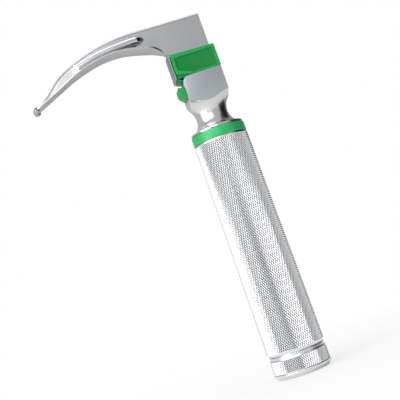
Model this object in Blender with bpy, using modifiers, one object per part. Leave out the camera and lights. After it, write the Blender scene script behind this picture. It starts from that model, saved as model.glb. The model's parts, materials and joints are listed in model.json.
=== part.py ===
"""A hook-on laryngoscope: a battery handle with a lamp in its head, and a curved blade
that hangs on the head's cross pin and folds down along the handle.

Metres, +Z up the handle's axis, origin at the middle of the base cap's flat bottom.
The blade points along -X, its spatula lies on the -Y side of its web.
"""

import math

import bpy
from mathutils import Matrix, Vector

MM = 0.001

# Clearances
SEAT_GAP = 0.3 * MM  # between pieces that rest on, or are cut by, each other
PRESS_GAP = 0.1 * MM  # round a pin in its hole
RUN_GAP = 0.3 * MM  # on each side of the tongue between the cheeks

# Handle: two C cells in a tube, closed by a screwed base cap
CELL_RADIUS = 12.9 * MM
CELL_LENGTH = 50.0 * MM
CELL_PLAY = 0.35 * MM
TUBE_WALL_TOP = 0.95 * MM
TUBE_WALL_BASE = 1.85 * MM
CAP_HEIGHT = 11.75 * MM
CAP_FLOOR = 3.0 * MM
CAP_SPIGOT = 5.45 * MM
CAP_WALL = 1.7 * MM
CAP_SPRING_SPACE = 14.8 * MM
RING_HEIGHT = 4.7 * MM
SEAL_WIRE = 0.5 * MM
THREAD_WALL = 1.95 * MM

# Head: a turned neck that flares into a flat-sided box, slotted for the blade's tongue
SPIGOT_DEPTH = 11.85 * MM
SHOULDER_HEIGHT = 1.05 * MM
NECK_RADIUS = 8.4 * MM
NECK_HEIGHT = 7.85 * MM  # narrowest place, above the ring
FLARE_RADIUS = 17.0 * MM
FLARE_HEIGHT = 9.5 * MM
HEAD_FRONT = -9.8 * MM
HEAD_REAR = 11.2 * MM
HEAD_TOP = 29.55 * MM  # above the ring
HEAD_CORNER = 3.2 * MM
HEAD_CHAMFER = 0.8 * MM
CHEEK_WALL = 4.55 * MM
PIN_RADIUS = 1.6 * MM
PIN_BITE = 3.0 * MM

# Lamp: a sprung cartridge in the head, pressed down by the blade's heel
LAMP_RADIUS = 4.2 * MM
LAMP_FLANGE = 1.1 * MM
LAMP_TRAVEL = 1.2 * MM
LAMP_GAP = 0.5 * MM  # from the tongue's underside down to the slot's floor
LAMP_BORE = 3.3 * MM
BULB_RADIUS = 2.3 * MM
CONTACT_RADIUS = 1.6 * MM

# Heel: tongue between the cheeks, with a hook round the pin, under a wider block
TONGUE_HALF = 6.15 * MM
HOOK_RADIUS = 7.2 * MM
HOOK_CLEARANCE = 0.2 * MM
HOOK_FRONT = -12.8 * MM
MOUTH_ANGLE = math.radians(166.0)
HEEL_FRONT = -11.4 * MM
TONGUE_REAR = 10.8 * MM
BLOCK_REAR = 12.1 * MM
BLOCK_BOTTOM = 3.65 * MM  # above the pin, as are the heights below
BLOCK_BOTTOM_FRONT = 6.4 * MM
BLOCK_TOP = 15.9 * MM
BLOCK_TOP_FRONT = 16.8 * MM
BLOCK_OVERHANG = 1.85 * MM
COLLAR_OVERHANG = 1.05 * MM
PANEL_DEPTH = 0.7 * MM
PANEL_BORDER = 1.5 * MM
BLOCK_BEVEL = 0.5 * MM
PLATE_THICKNESS = 0.7 * MM
PLATE_BOTTOM = 3.65 * MM
PLATE_TOP = 18.2 * MM
PLATE_OVERHANG = 0.85 * MM
TAB_HEIGHT = 5.0 * MM
TAB_LENGTH = 3.2 * MM
HEEL_PIN_RADIUS = 0.9 * MM
HEEL_PIN_X = 7.0 * MM
HEEL_PIN_HEIGHT = 11.7 * MM
TANG_BOTTOM = 7.8 * MM

# Blade: one pressed sheet, with a spatula, a web, and a flange turned out at the top
STEEL = 1.2 * MM
BLADE_START = -13.2 * MM
BLADE_REACH = 71.4 * MM
WEB_REAR = 11.1 * MM
SPATULA_WIDTH = 14.0 * MM
TIP_WIDTH = 10.5 * MM
FLANGE_WIDTH = 5.5 * MM
RIM_RADIUS = 1.5 * MM
TIP_BEAD = 1.25 * MM

# Light guide: a sheathed fibre bundle from the tongue's underside to the blade's far third
GUIDE_RADIUS = 2.0 * MM
GUIDE_OFFSET = 3.0 * MM
WINDOW_DEPTH = 0.9 * MM
FERRULE_WALL = 0.7 * MM

# Detents: a sprung ball in each side of the tongue
BALL_RADIUS = 1.5 * MM
BALL_STANDS_OUT = 0.85 * MM
BALL_X = 6.0 * MM
BALL_BELOW_PIN = 2.0 * MM
BALL_LIP = 0.2 * MM
POCKET_DEPTH = 4.5 * MM

STEPS = 40

# Heights and radii that follow from the sizes above
BORE_RADIUS = CELL_RADIUS + CELL_PLAY
TUBE_TOP_RADIUS = BORE_RADIUS + TUBE_WALL_TOP
TUBE_BASE_RADIUS = BORE_RADIUS + TUBE_WALL_BASE
SPIGOT_RADIUS = BORE_RADIUS - SEAT_GAP
TUBE_BOTTOM = CAP_HEIGHT + SEAT_GAP
CELLS_BOTTOM = CAP_FLOOR + CAP_SPRING_SPACE
CELLS_TOP = CELLS_BOTTOM + 2 * CELL_LENGTH + SEAT_GAP
HEAD_BASE = CELLS_TOP + SEAT_GAP + SPIGOT_DEPTH
RING_TOP = HEAD_BASE - SEAT_GAP
RING_BOTTOM = RING_TOP - RING_HEIGHT
TUBE_TOP = RING_BOTTOM - SEAT_GAP
CARRIER_BOTTOM = CELLS_TOP + 0.5 * MM
CARRIER_TOP = CARRIER_BOTTOM + 4.8 * MM
CARRIER_BORE = SPIGOT_RADIUS - THREAD_WALL
HEAD_TOP_Z = HEAD_BASE + HEAD_TOP
PIN_X = HEAD_FRONT + HEAD_CORNER
PIN_Z = HEAD_TOP_Z - HEAD_CORNER
TONGUE_BOTTOM = PIN_Z - HOOK_RADIUS
FLOOR_Z = TONGUE_BOTTOM - LAMP_GAP
SLOT_HALF = TONGUE_HALF + RUN_GAP
HEAD_HALF = SLOT_HALF + CHEEK_WALL
BLOCK_HALF = TONGUE_HALF + BLOCK_OVERHANG
HOOK_BORE = PIN_RADIUS + HOOK_CLEARANCE
LAMP_SHOULDER = HEAD_BASE + 0.65 * MM
BALL_Y = TONGUE_HALF + BALL_STANDS_OUT - BALL_RADIUS
TIP_X = BLADE_START - BLADE_REACH


def empty_scene():
    """Remove whatever the scene holds."""
    for obj in list(bpy.context.scene.objects):
        bpy.data.objects.remove(obj)


def new_collection(name):
    """A collection linked to the scene."""
    found = bpy.data.collections.new(name)
    bpy.context.scene.collection.children.link(found)
    return found


def finish_of(name, colour, roughness, metallic):
    """A material of one colour, roughness and metallic value."""
    material = bpy.data.materials.new(name)
    material.use_nodes = True
    shader = material.node_tree.nodes["Principled BSDF"]
    shader.inputs["Base Color"].default_value = (*colour, 1.0)
    shader.inputs["Roughness"].default_value = roughness
    shader.inputs["Metallic"].default_value = metallic
    return material


def piece(name, data, colour=None, roughness=0.3, metallic=1.0):
    """A named object: a part with its own material, or a hidden helper if it has no colour."""
    obj = bpy.data.objects.new(name, data)
    if colour is None:
        HELPERS.objects.link(obj)
        obj.hide_render = True
        obj.display_type = "WIRE"
    else:
        PARTS.objects.link(obj)
        data.materials.append(finish_of(name, colour, roughness, metallic))
    return obj


def turned(name, profile, colour=None, closed=False, steps=STEPS, **finish):
    """A turned piece from (radius, height) points that run down its outer side."""
    edges = [(i, i + 1) for i in range(len(profile) - 1)]
    if closed:
        edges.append((len(profile) - 1, 0))
    mesh = bpy.data.meshes.new(name)
    mesh.from_pydata([(radius, 0.0, z) for radius, z in profile], edges, [])
    obj = piece(name, mesh, colour, **finish)
    screw = obj.modifiers.new("turn", "SCREW")
    screw.steps = screw.render_steps = steps
    screw.use_merge_vertices = True
    screw.merge_threshold = 0.00001
    return obj


def torus_profile(radius, height, wire, count=8):
    """A round wire's section as (radius, height) points, clockwise."""
    turns = [-math.tau * i / count for i in range(count)]
    return [(radius + wire * math.cos(t), height + wire * math.sin(t)) for t in turns]


def ellipse(centre, semi, start, end, count=8):
    """Points on an ellipse from one angle to another, in degrees."""
    turns = [math.radians(start + (end - start) * i / count) for i in range(count + 1)]
    return [
        (centre[0] + semi[0] * math.cos(t), centre[1] + semi[1] * math.sin(t)) for t in turns
    ]


def as_mesh(curve_object, name, colour=None, **finish):
    """The curve object made a mesh object with its caps welded."""
    graph = bpy.context.evaluated_depsgraph_get()
    mesh = bpy.data.meshes.new_from_object(curve_object.evaluated_get(graph))
    mesh.transform(curve_object.matrix_world)
    bpy.data.objects.remove(curve_object)
    obj = piece(name, mesh, colour, **finish)
    weld = obj.modifiers.new("weld", "WELD")
    weld.merge_threshold = 0.00001
    return obj


def prism(name, outline, half_width, colour=None, **finish):
    """A flat outline of (x, z) points, extruded both ways along Y."""
    curve = bpy.data.curves.new(name, "CURVE")
    curve.dimensions = "2D"
    curve.fill_mode = "BOTH"
    curve.extrude = half_width
    spline = curve.splines.new("POLY")
    spline.points.add(len(outline) - 1)
    for point, (x, z) in zip(spline.points, outline):
        point.co = (x, z, 0.0, 1.0)
    spline.use_cyclic_u = True
    helper = piece("outline_" + name, curve)
    helper.matrix_world = Matrix.Rotation(math.pi / 2, 4, "X")
    bpy.context.view_layer.update()
    return as_mesh(helper, name, colour, **finish)


def rod(name, route, radius, colour=None, smooth=0, **finish):
    """A round rod along a route: straight between its points, or smooth through them."""
    curve = bpy.data.curves.new(name, "CURVE")
    curve.dimensions = "3D"
    curve.bevel_depth = radius
    curve.bevel_resolution = 2
    curve.use_fill_caps = True
    if smooth:
        curve.resolution_u = smooth
        spline = curve.splines.new("BEZIER")
        spline.bezier_points.add(len(route) - 1)
        for point, place in zip(spline.bezier_points, route):
            point.co = place
            point.handle_left_type = point.handle_right_type = "AUTO"
    else:
        spline = curve.splines.new("POLY")
        spline.points.add(len(route) - 1)
        for point, place in zip(spline.points, route):
            point.co = (*place, 1.0)
    return as_mesh(piece("route_" + name, curve), name, colour, **finish)


def pin_along_y(name, radius, x, z, low, high, colour=None, **finish):
    """A cylinder along Y between two places."""
    obj = turned(name, [(0, high), (radius, high), (radius, low), (0, low)], colour,
                 steps=32, **finish)
    # the turning axis Z is laid along +Y
    obj.matrix_world = Matrix.Translation((x, 0, z)) @ Matrix.Rotation(-math.pi / 2, 4, "X")
    return obj


def spring(name, radius_low, radius_high, low, high, turns, wire, colour, place=None):
    """A coil spring of round wire, up Z, or laid where the place matrix says."""
    count = int(12 * turns)
    route = []
    for i in range(count + 1):
        share = i / count
        radius = radius_low + (radius_high - radius_low) * share
        angle = math.tau * turns * share
        height = low + wire + (high - low - 2 * wire) * share
        route.append(Vector((radius * math.cos(angle), radius * math.sin(angle), height)))
    if place:
        route = [place @ point for point in route]
    return rod(name, route, wire, colour, roughness=0.3, metallic=1.0)


def combine(target, other, operation):
    """Cut the target with, or join it to, a hidden helper."""
    step = target.modifiers.new(other.name, "BOOLEAN")
    step.operation = operation
    step.solver = "EXACT"
    step.object = other


def bevelled(obj, width, segments=1, limit=40.0):
    """Break the sharp edges of a piece."""
    step = obj.modifiers.new("edges", "BEVEL")
    step.width = width
    step.segments = segments
    step.limit_method = "ANGLE"
    step.angle_limit = math.radians(limit)
    return obj


def joint_at(name, place):
    """An empty on a joint's axis."""
    obj = bpy.data.objects.new(name, None)
    obj.location = place
    obj.empty_display_size = 5 * MM
    PARTS.objects.link(obj)
    return obj


def carry(joint, pieces):
    """Parent pieces to a joint's empty, leaving them where they are."""
    for obj in pieces:
        obj.parent = joint
        obj.matrix_parent_inverse = Matrix.Translation(-joint.location)


# Handle -------------------------------------------------------------------------------


def grip_tube():
    """The battery tube, a little wider at its base, with a plain groove above the cap."""
    groove = TUBE_BASE_RADIUS - 0.7 * MM
    return turned("grip_tube", [
        (TUBE_TOP_RADIUS - 0.3 * MM, TUBE_TOP),
        (TUBE_TOP_RADIUS, TUBE_TOP - 0.3 * MM),
        (TUBE_BASE_RADIUS, TUBE_BOTTOM + 1.6 * MM),
        (groove, TUBE_BOTTOM + 1.3 * MM),
        (groove, TUBE_BOTTOM),
        (BORE_RADIUS, TUBE_BOTTOM),
        (BORE_RADIUS, TUBE_TOP),
    ], (0.78, 0.79, 0.8), closed=True, roughness=0.25)


def colour_ring():
    """The green ring that marks the light fitting, trapped under the head's shoulder."""
    return turned("colour_ring", [
        (TUBE_TOP_RADIUS - 0.25 * MM, RING_TOP),
        (TUBE_TOP_RADIUS, RING_TOP - 0.25 * MM),
        (TUBE_TOP_RADIUS, RING_BOTTOM),
        (BORE_RADIUS, RING_BOTTOM),
        (BORE_RADIUS, RING_TOP),
    ], (0.07, 0.48, 0.16), closed=True, roughness=0.4, metallic=0.0)


def head_blank():
    """The head as it comes off the lathe: spigot, shoulder, waisted neck and flare."""
    shoulder = TUBE_TOP_RADIUS - 0.4 * MM
    neck_z = HEAD_BASE + NECK_HEIGHT
    lower = neck_z - HEAD_BASE - SHOULDER_HEIGHT
    flare = ellipse((FLARE_RADIUS, neck_z), (FLARE_RADIUS - NECK_RADIUS, FLARE_HEIGHT), 90, 180)
    waist = ellipse((shoulder - 0.3 * MM, neck_z),
                    (shoulder - 0.3 * MM - NECK_RADIUS, lower), 180, 270)
    seal_z = CARRIER_BOTTOM + 3.4 * MM
    clip_z = CARRIER_TOP + 0.2 * MM
    top = HEAD_TOP_Z + 1 * MM
    lamp_hole = LAMP_RADIUS + SEAT_GAP
    flange_hole = LAMP_RADIUS + LAMP_FLANGE + SEAT_GAP
    bore = CARRIER_BORE
    profile = [(FLARE_RADIUS, top)] + flare + waist[1:] + [
        (shoulder, HEAD_BASE + SHOULDER_HEIGHT - 0.35 * MM),
        (shoulder, HEAD_BASE),
        (SPIGOT_RADIUS, HEAD_BASE),
        (SPIGOT_RADIUS, seal_z + 0.65 * MM),
        (SPIGOT_RADIUS - 0.9 * MM, seal_z + 0.65 * MM),
        (SPIGOT_RADIUS - 0.9 * MM, seal_z - 0.65 * MM),
        (SPIGOT_RADIUS, seal_z - 0.65 * MM),
        (SPIGOT_RADIUS, HEAD_BASE - SPIGOT_DEPTH),
        (bore, HEAD_BASE - SPIGOT_DEPTH),
        (bore, clip_z),
        (bore + 0.7 * MM, clip_z),
        (bore + 0.7 * MM, clip_z + 1.2 * MM),
        (bore, clip_z + 1.2 * MM),
        (bore, HEAD_BASE - 2.8 * MM),
        (flange_hole, HEAD_BASE - 2.8 * MM),
        (flange_hole, LAMP_SHOULDER + LAMP_TRAVEL + SEAT_GAP),
        (lamp_hole, LAMP_SHOULDER + LAMP_TRAVEL + SEAT_GAP),
        (lamp_hole, top),
    ]
    return turned("head_fitting", profile, (0.75, 0.76, 0.78), closed=True, roughness=0.12)


def head_box():
    """The flat-sided envelope of the head, its front top corner rounded."""
    corner = ellipse((HEAD_FRONT + HEAD_CORNER, HEAD_TOP_Z - HEAD_CORNER),
                     (HEAD_CORNER, HEAD_CORNER), 180, 90, 6)
    low = HEAD_BASE + NECK_HEIGHT
    outline = [(HEAD_FRONT, low)] + corner + [(HEAD_REAR, HEAD_TOP_Z), (HEAD_REAR, low)]
    return bevelled(prism("head_box", outline, HEAD_HALF), HEAD_CHAMFER, limit=60.0)


def head_fitting():
    """The head: the turned blank milled to the box, slotted, and bored for the pin."""
    head = head_blank()
    reach = FLARE_RADIUS + 5 * MM
    low = HEAD_BASE + NECK_HEIGHT + 1 * MM
    high = HEAD_TOP_Z + 5 * MM
    waste = prism("head_waste", [(-reach, low), (-reach, high), (reach, high), (reach, low)], reach)
    combine(waste, head_box(), "DIFFERENCE")
    combine(head, waste, "DIFFERENCE")
    slot = prism("head_slot", [(-reach, FLOOR_Z), (-reach, high), (reach, high), (reach, FLOOR_Z)],
                 SLOT_HALF)
    combine(head, slot, "DIFFERENCE")
    hole = pin_along_y("pin_hole", PIN_RADIUS + PRESS_GAP, PIN_X, PIN_Z,
                       -SLOT_HALF - PIN_BITE - PRESS_GAP, HEAD_HALF + 1 * MM)
    combine(head, hole, "DIFFERENCE")
    for side in (-1, 1):
        combine(head, detent_channel(side), "DIFFERENCE")
    return head


def detent_channel(side):
    """The ball's seat in a cheek, run out to the cheek's top as a channel round the pin."""
    reach = math.hypot(BALL_X - PIN_X, BALL_BELOW_PIN)
    start = -math.atan2(BALL_BELOW_PIN, BALL_X - PIN_X)
    sweep = math.radians(45.0)
    route = []
    for i in range(-1, 15):
        angle = start + sweep * i / 14 if i > 0 else start - 0.001 + 0.001 * i
        route.append((PIN_X + reach * math.cos(angle), side * BALL_Y,
                      PIN_Z + reach * math.sin(angle)))
    name = "channel_near" if side < 0 else "channel_far"
    channel = rod(name, route, BALL_RADIUS + SEAT_GAP)
    seat = ball("seat_of_" + name, side, BALL_RADIUS + SEAT_GAP)
    combine(channel, seat, "UNION")
    return channel


def hook_pin():
    """The cross pin, pressed in from the far cheek and blind in the near one."""
    return pin_along_y("hook_pin", PIN_RADIUS, PIN_X, PIN_Z, -SLOT_HALF - PIN_BITE,
                       HEAD_HALF - SEAT_GAP, (0.7, 0.7, 0.72), roughness=0.2)


def head_seal():
    """The O-ring between the head's spigot and the tube."""
    height = CARRIER_BOTTOM + 3.4 * MM
    ring = torus_profile(BORE_RADIUS - 0.1 * MM - SEAL_WIRE, height, SEAL_WIRE)
    return turned("head_seal", ring, (0.02, 0.02, 0.02), closed=True, roughness=0.6, metallic=0.0)


def contact_carrier():
    """The moulded disc that holds the battery contact in the head's spigot."""
    outer = CARRIER_BORE - SEAT_GAP
    stem = CONTACT_RADIUS + PRESS_GAP
    flange = CONTACT_RADIUS + 1.6 * MM + PRESS_GAP
    return turned("contact_carrier", [
        (outer - 0.5 * MM, CARRIER_TOP),
        (outer, CARRIER_TOP - 0.5 * MM),
        (outer, CARRIER_BOTTOM),
        (flange, CARRIER_BOTTOM),
        (flange, CARRIER_BOTTOM + 1.0 * MM),
        (stem, CARRIER_BOTTOM + 1.0 * MM),
        (stem, CARRIER_TOP),
    ], (0.85, 0.83, 0.76), closed=True, roughness=0.5, metallic=0.0)


def carrier_clip():
    """The spring ring that keeps the contact carrier in the spigot."""
    low = CARRIER_TOP + 0.3 * MM
    outer = CARRIER_BORE + 0.4 * MM
    inner = CARRIER_BORE - 1.0 * MM
    return turned("carrier_clip", [
        (outer, low + 0.9 * MM), (outer, low), (inner, low), (inner, low + 0.9 * MM),
    ], (0.6, 0.6, 0.62), closed=True, roughness=0.3)


def battery_contact():
    """The brass stud that carries current from the top cell to the lamp."""
    bottom = CELLS_TOP + SEAT_GAP
    flange = CONTACT_RADIUS + 1.6 * MM
    top = HEAD_BASE - 3.9 * MM
    return turned("battery_contact", [
        (0, top), (CONTACT_RADIUS - 0.4 * MM, top), (CONTACT_RADIUS, top - 0.4 * MM),
        (CONTACT_RADIUS, bottom + 0.8 * MM), (flange, bottom + 0.8 * MM), (flange, bottom),
        (0, bottom),
    ], (0.8, 0.62, 0.28), steps=32, roughness=0.3)


def lamp_spring():
    """The spring that lifts the lamp off its contact when the blade is folded."""
    return spring("lamp_spring", 4.3 * MM, 4.3 * MM, CARRIER_TOP + SEAT_GAP,
                  LAMP_SHOULDER - 1.5 * MM - SEAT_GAP, 4.5, 0.35 * MM, (0.6, 0.6, 0.62))


def cell(name, bottom):
    """A C cell with its button terminal on top."""
    top = bottom + CELL_LENGTH
    shoulder = top - 1.7 * MM
    return turned(name, [
        (0, top), (3.0 * MM, top), (3.0 * MM, shoulder),
        (CELL_RADIUS - 1.4 * MM, shoulder), (CELL_RADIUS, shoulder - 1.2 * MM),
        (CELL_RADIUS, bottom + 0.8 * MM), (CELL_RADIUS - 0.8 * MM, bottom), (0, bottom),
    ], (0.1, 0.12, 0.16), roughness=0.4, metallic=0.2)


# Lamp cartridge -------------------------------------------------------------------------


def lamp_sleeve():
    """The metal barrel of the cartridge, with the flange that its spring lifts."""
    top = FLOOR_Z - 0.05 * MM
    bottom = LAMP_SHOULDER - 1.5 * MM
    return turned("lamp_sleeve", [
        (LAMP_RADIUS - 0.3 * MM, top), (LAMP_RADIUS, top - 0.3 * MM),
        (LAMP_RADIUS, LAMP_SHOULDER), (LAMP_RADIUS + LAMP_FLANGE, LAMP_SHOULDER),
        (LAMP_RADIUS + LAMP_FLANGE, bottom), (2.0 * MM, bottom),
        (2.0 * MM, bottom + 4.5 * MM), (LAMP_BORE, bottom + 4.5 * MM),
        (LAMP_BORE, top - 1.2 * MM), (LAMP_BORE - 0.6 * MM, top),
    ], (0.82, 0.68, 0.4), closed=True, steps=32, roughness=0.25)


def lamp_base():
    """The bulb's metal base, held in the barrel."""
    bottom = LAMP_SHOULDER + 3.3 * MM
    return turned("lamp_base", [
        (0, bottom + 3.4 * MM), (2.2 * MM, bottom + 3.4 * MM),
        (LAMP_BORE - SEAT_GAP, bottom + 2.6 * MM), (LAMP_BORE - SEAT_GAP, bottom), (0, bottom),
    ], (0.75, 0.75, 0.77), steps=32, roughness=0.25)


def lamp_bulb():
    """The glass envelope, with a lens end."""
    bottom = LAMP_SHOULDER + 7.0 * MM
    top = FLOOR_Z - 1.6 * MM
    dome = ellipse((0, top - BULB_RADIUS), (BULB_RADIUS, BULB_RADIUS), 90, 0, 6)
    dome[0] = (0, top)
    return turned("lamp_bulb", dome + [(BULB_RADIUS, bottom), (0, bottom)],
                  (0.95, 0.93, 0.85), steps=32, roughness=0.05, metallic=0.0)


def lamp_contact():
    """The pin under the lamp that meets the battery contact."""
    bottom = HEAD_BASE - 3.9 * MM + SEAT_GAP
    top = LAMP_SHOULDER + 3.0 * MM
    radius = 1.4 * MM
    return turned("lamp_contact", [
        (0, top), (radius, top), (radius, bottom + 0.5 * MM), (radius - 0.5 * MM, bottom),
        (0, bottom),
    ], (0.8, 0.62, 0.28), steps=32, roughness=0.3)


# Base cap ---------------------------------------------------------------------------------


def base_cap():
    """The screwed cap: a cup with a plain band over its grip, and the threaded spigot."""
    band = TUBE_BASE_RADIUS - 0.7 * MM
    grip = TUBE_BASE_RADIUS - 0.35 * MM
    rim = TUBE_BASE_RADIUS - 0.1 * MM
    spigot_top = CAP_HEIGHT + CAP_SPIGOT
    seal_z = TUBE_BOTTOM + 1.2 * MM
    inner = SPIGOT_RADIUS - CAP_WALL
    return turned("base_cap", [
        (0, CAP_FLOOR), (inner, CAP_FLOOR), (inner, spigot_top),
        (SPIGOT_RADIUS, spigot_top),
        (SPIGOT_RADIUS, seal_z + 0.65 * MM), (SPIGOT_RADIUS - 0.9 * MM, seal_z + 0.65 * MM),
        (SPIGOT_RADIUS - 0.9 * MM, seal_z - 0.65 * MM), (SPIGOT_RADIUS, seal_z - 0.65 * MM),
        (SPIGOT_RADIUS, CAP_HEIGHT), (band, CAP_HEIGHT), (band, CAP_HEIGHT - 1.35 * MM),
        (grip, CAP_HEIGHT - 1.65 * MM), (grip, 2.9 * MM), (rim, 2.7 * MM), (rim, 1.6 * MM),
        (rim - 1.6 * MM, 0), (0, 0),
    ], (0.78, 0.79, 0.8), roughness=0.25)


def cap_seal():
    """The O-ring under the cap's thread."""
    ring = torus_profile(BORE_RADIUS - 0.1 * MM - SEAL_WIRE, TUBE_BOTTOM + 1.2 * MM, SEAL_WIRE)
    return turned("cap_seal", ring, (0.02, 0.02, 0.02), closed=True, roughness=0.6, metallic=0.0)


def cap_contact():
    """The plate under the cap's spring."""
    low = CAP_FLOOR + SEAT_GAP
    radius = SPIGOT_RADIUS - CAP_WALL - 1.5 * MM
    return turned("cap_contact", [
        (0, low + 0.6 * MM), (radius, low + 0.6 * MM), (radius, low), (0, low),
    ], (0.8, 0.62, 0.28), roughness=0.3)


def cap_spring():
    """The tapered spring that presses the cells up."""
    low = CAP_FLOOR + 2 * SEAT_GAP + 0.6 * MM
    wide = SPIGOT_RADIUS - CAP_WALL - 4.0 * MM
    return spring("cap_spring", wide, 4.0 * MM, low, CELLS_BOTTOM - SEAT_GAP, 5.0, 0.5 * MM,
                  (0.62, 0.62, 0.64))


# Heel ---------------------------------------------------------------------------------------


def tongue_outline():
    """The tongue from the side: the hook's nose round the pin, a flat bottom and rear."""
    top = PIN_Z + BLOCK_BOTTOM_FRONT + 1 * MM
    nose = math.degrees(math.acos((HOOK_FRONT - PIN_X) / HOOK_RADIUS))
    hook = ellipse((PIN_X, PIN_Z), (HOOK_RADIUS, HOOK_RADIUS), 360 - nose, 270, 9)
    lip = PIN_Z + 1 * MM
    chamfer = 2.0 * MM
    return [(HEEL_FRONT, top), (HEEL_FRONT, lip), (HOOK_FRONT, lip)] + hook + [
        (TONGUE_REAR - chamfer, TONGUE_BOTTOM), (TONGUE_REAR, TONGUE_BOTTOM + chamfer),
        (TONGUE_REAR, top),
    ]


def block_outline(inset=0.0, extra_top=0.0):
    """The wide block from the side, or the panel sunk in it."""
    front, rear = HEEL_FRONT + inset, BLOCK_REAR - inset
    knee = -2.5 * MM
    return [
        (front, PIN_Z + BLOCK_BOTTOM_FRONT + inset),
        (front, PIN_Z + BLOCK_TOP_FRONT - inset - extra_top),
        (rear, PIN_Z + BLOCK_TOP - inset),
        (rear, PIN_Z + BLOCK_BOTTOM + inset),
        (knee, PIN_Z + BLOCK_BOTTOM + inset),
    ]


def mouth():
    """The way in for the pin: a slot from the hook's bore out to its front."""
    bore = ellipse((0, 0), (HOOK_BORE, HOOK_BORE), 90, -90, 10)
    far = 2 * HOOK_RADIUS
    across = [(-far, HOOK_BORE)] + bore + [(-far, -HOOK_BORE)]
    # the slot's own -X end is turned to the mouth's direction
    turn = MOUTH_ANGLE - math.pi
    outline = [(PIN_X + x * math.cos(turn) - z * math.sin(turn),
                PIN_Z + x * math.sin(turn) + z * math.cos(turn)) for x, z in across]
    return prism("hook_mouth", outline, 2 * BLOCK_HALF)


def heel_block():
    """The moulded heel: block, collar and hooked tongue in one, bored for what it holds."""
    heel = bevelled(prism("heel_block", block_outline(), BLOCK_HALF, (0.02, 0.29, 0.06),
                          roughness=0.4, metallic=0.0), BLOCK_BEVEL)
    for side in (-1, 1):
        panel = prism("panel_near" if side < 0 else "panel_far",
                      block_outline(PANEL_BORDER, 0.8 * MM), PANEL_DEPTH)
        panel.location.y = side * BLOCK_HALF
        combine(heel, panel, "DIFFERENCE")
    low, high = PIN_Z + BLOCK_BOTTOM + 0.1 * MM, PIN_Z + BLOCK_BOTTOM_FRONT + 1.5 * MM
    front, rear = HEEL_FRONT + 0.1 * MM, -4.0 * MM
    collar = prism("heel_collar", [(front, low), (front, high), (rear, high), (rear, low)],
                   TONGUE_HALF + COLLAR_OVERHANG)
    combine(heel, collar, "UNION")
    combine(heel, prism("heel_tongue", tongue_outline(), TONGUE_HALF), "UNION")
    combine(heel, mouth(), "DIFFERENCE")
    for hole in heel_holes():
        combine(heel, hole, "DIFFERENCE")
    return heel


def heel_holes():
    """Hidden cutters for the tang, the light guide, the pins, the plate's tab and the balls."""
    high = PIN_Z + BLOCK_TOP_FRONT + 2 * MM
    low = PIN_Z + TANG_BOTTOM - SEAT_GAP
    front, rear = tang_ends()
    front, rear = front - 0.5 * MM, rear + SEAT_GAP
    yield prism("tang_slot", [(front, low), (front, high), (rear, high), (rear, low)],
                STEEL / 2 + SEAT_GAP)
    yield rod("guide_hole", guide_route(), GUIDE_RADIUS + SEAT_GAP, smooth=4)
    ferrule = GUIDE_RADIUS + SEAT_GAP + FERRULE_WALL + PRESS_GAP
    ferrule_top = TONGUE_BOTTOM + 3.5 * MM
    yield turned("ferrule_hole", [(0, ferrule_top), (ferrule, ferrule_top),
                                  (ferrule, TONGUE_BOTTOM - 1 * MM),
                                  (0, TONGUE_BOTTOM - 1 * MM)], steps=32)
    for x in (-HEEL_PIN_X, HEEL_PIN_X):
        yield heel_pin("heel_pin_hole", x, HEEL_PIN_RADIUS + PRESS_GAP, PRESS_GAP, 2 * MM)
    yield tab_box("tab_slot", SEAT_GAP)
    for side in (-1, 1):
        yield ball_pocket(side)


def tang_ends():
    """Front and rear of the web's tang in the block."""
    return HEEL_FRONT + 0.8 * MM, WEB_REAR - 0.5 * MM


def tab_box(name, gap=0.0):
    """The front plate's tab, or the slot for it."""
    high = PIN_Z + TAB_HEIGHT + PLATE_THICKNESS + gap
    low = PIN_Z + TAB_HEIGHT - gap
    back = HEEL_FRONT + TAB_LENGTH + gap
    front = HEEL_FRONT - SEAT_GAP - PLATE_THICKNESS / 2
    return prism(name, [(front, low), (front, high), (back, high), (back, low)],
                 0.6 * TONGUE_HALF + gap)


def heel_plate():
    """The steel strip down the heel's front, held by a tab moulded into the block."""
    back = HEEL_FRONT - SEAT_GAP
    front = back - PLATE_THICKNESS
    low, high = PIN_Z + PLATE_BOTTOM, PIN_Z + PLATE_TOP
    plate = prism("heel_plate", [(front, low), (front, high), (back, high), (back, low)],
                  TONGUE_HALF + PLATE_OVERHANG, (0.62, 0.62, 0.62), roughness=0.3)
    combine(plate, tab_box("plate_tab"), "UNION")
    return plate


def heel_pin(name, x, radius=HEEL_PIN_RADIUS, deeper=0.0, longer=0.0, colour=None):
    """A pin through the block and the tang, driven from the far side."""
    high = BLOCK_HALF - PANEL_DEPTH - SEAT_GAP + longer
    return pin_along_y(name, radius, x, PIN_Z + HEEL_PIN_HEIGHT, -3.0 * MM - deeper, high,
                       colour, roughness=0.25)


def ball(name, side, radius=BALL_RADIUS, colour=None):
    """A steel ball at one side of the tongue."""
    arc = ellipse((0, 0), (radius, radius), 90, -90, 8)
    arc[0], arc[-1] = (0, radius), (0, -radius)
    obj = turned(name, arc, colour, steps=16, roughness=0.15)
    obj.location = (BALL_X, side * BALL_Y, PIN_Z - BALL_BELOW_PIN)
    return obj


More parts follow.
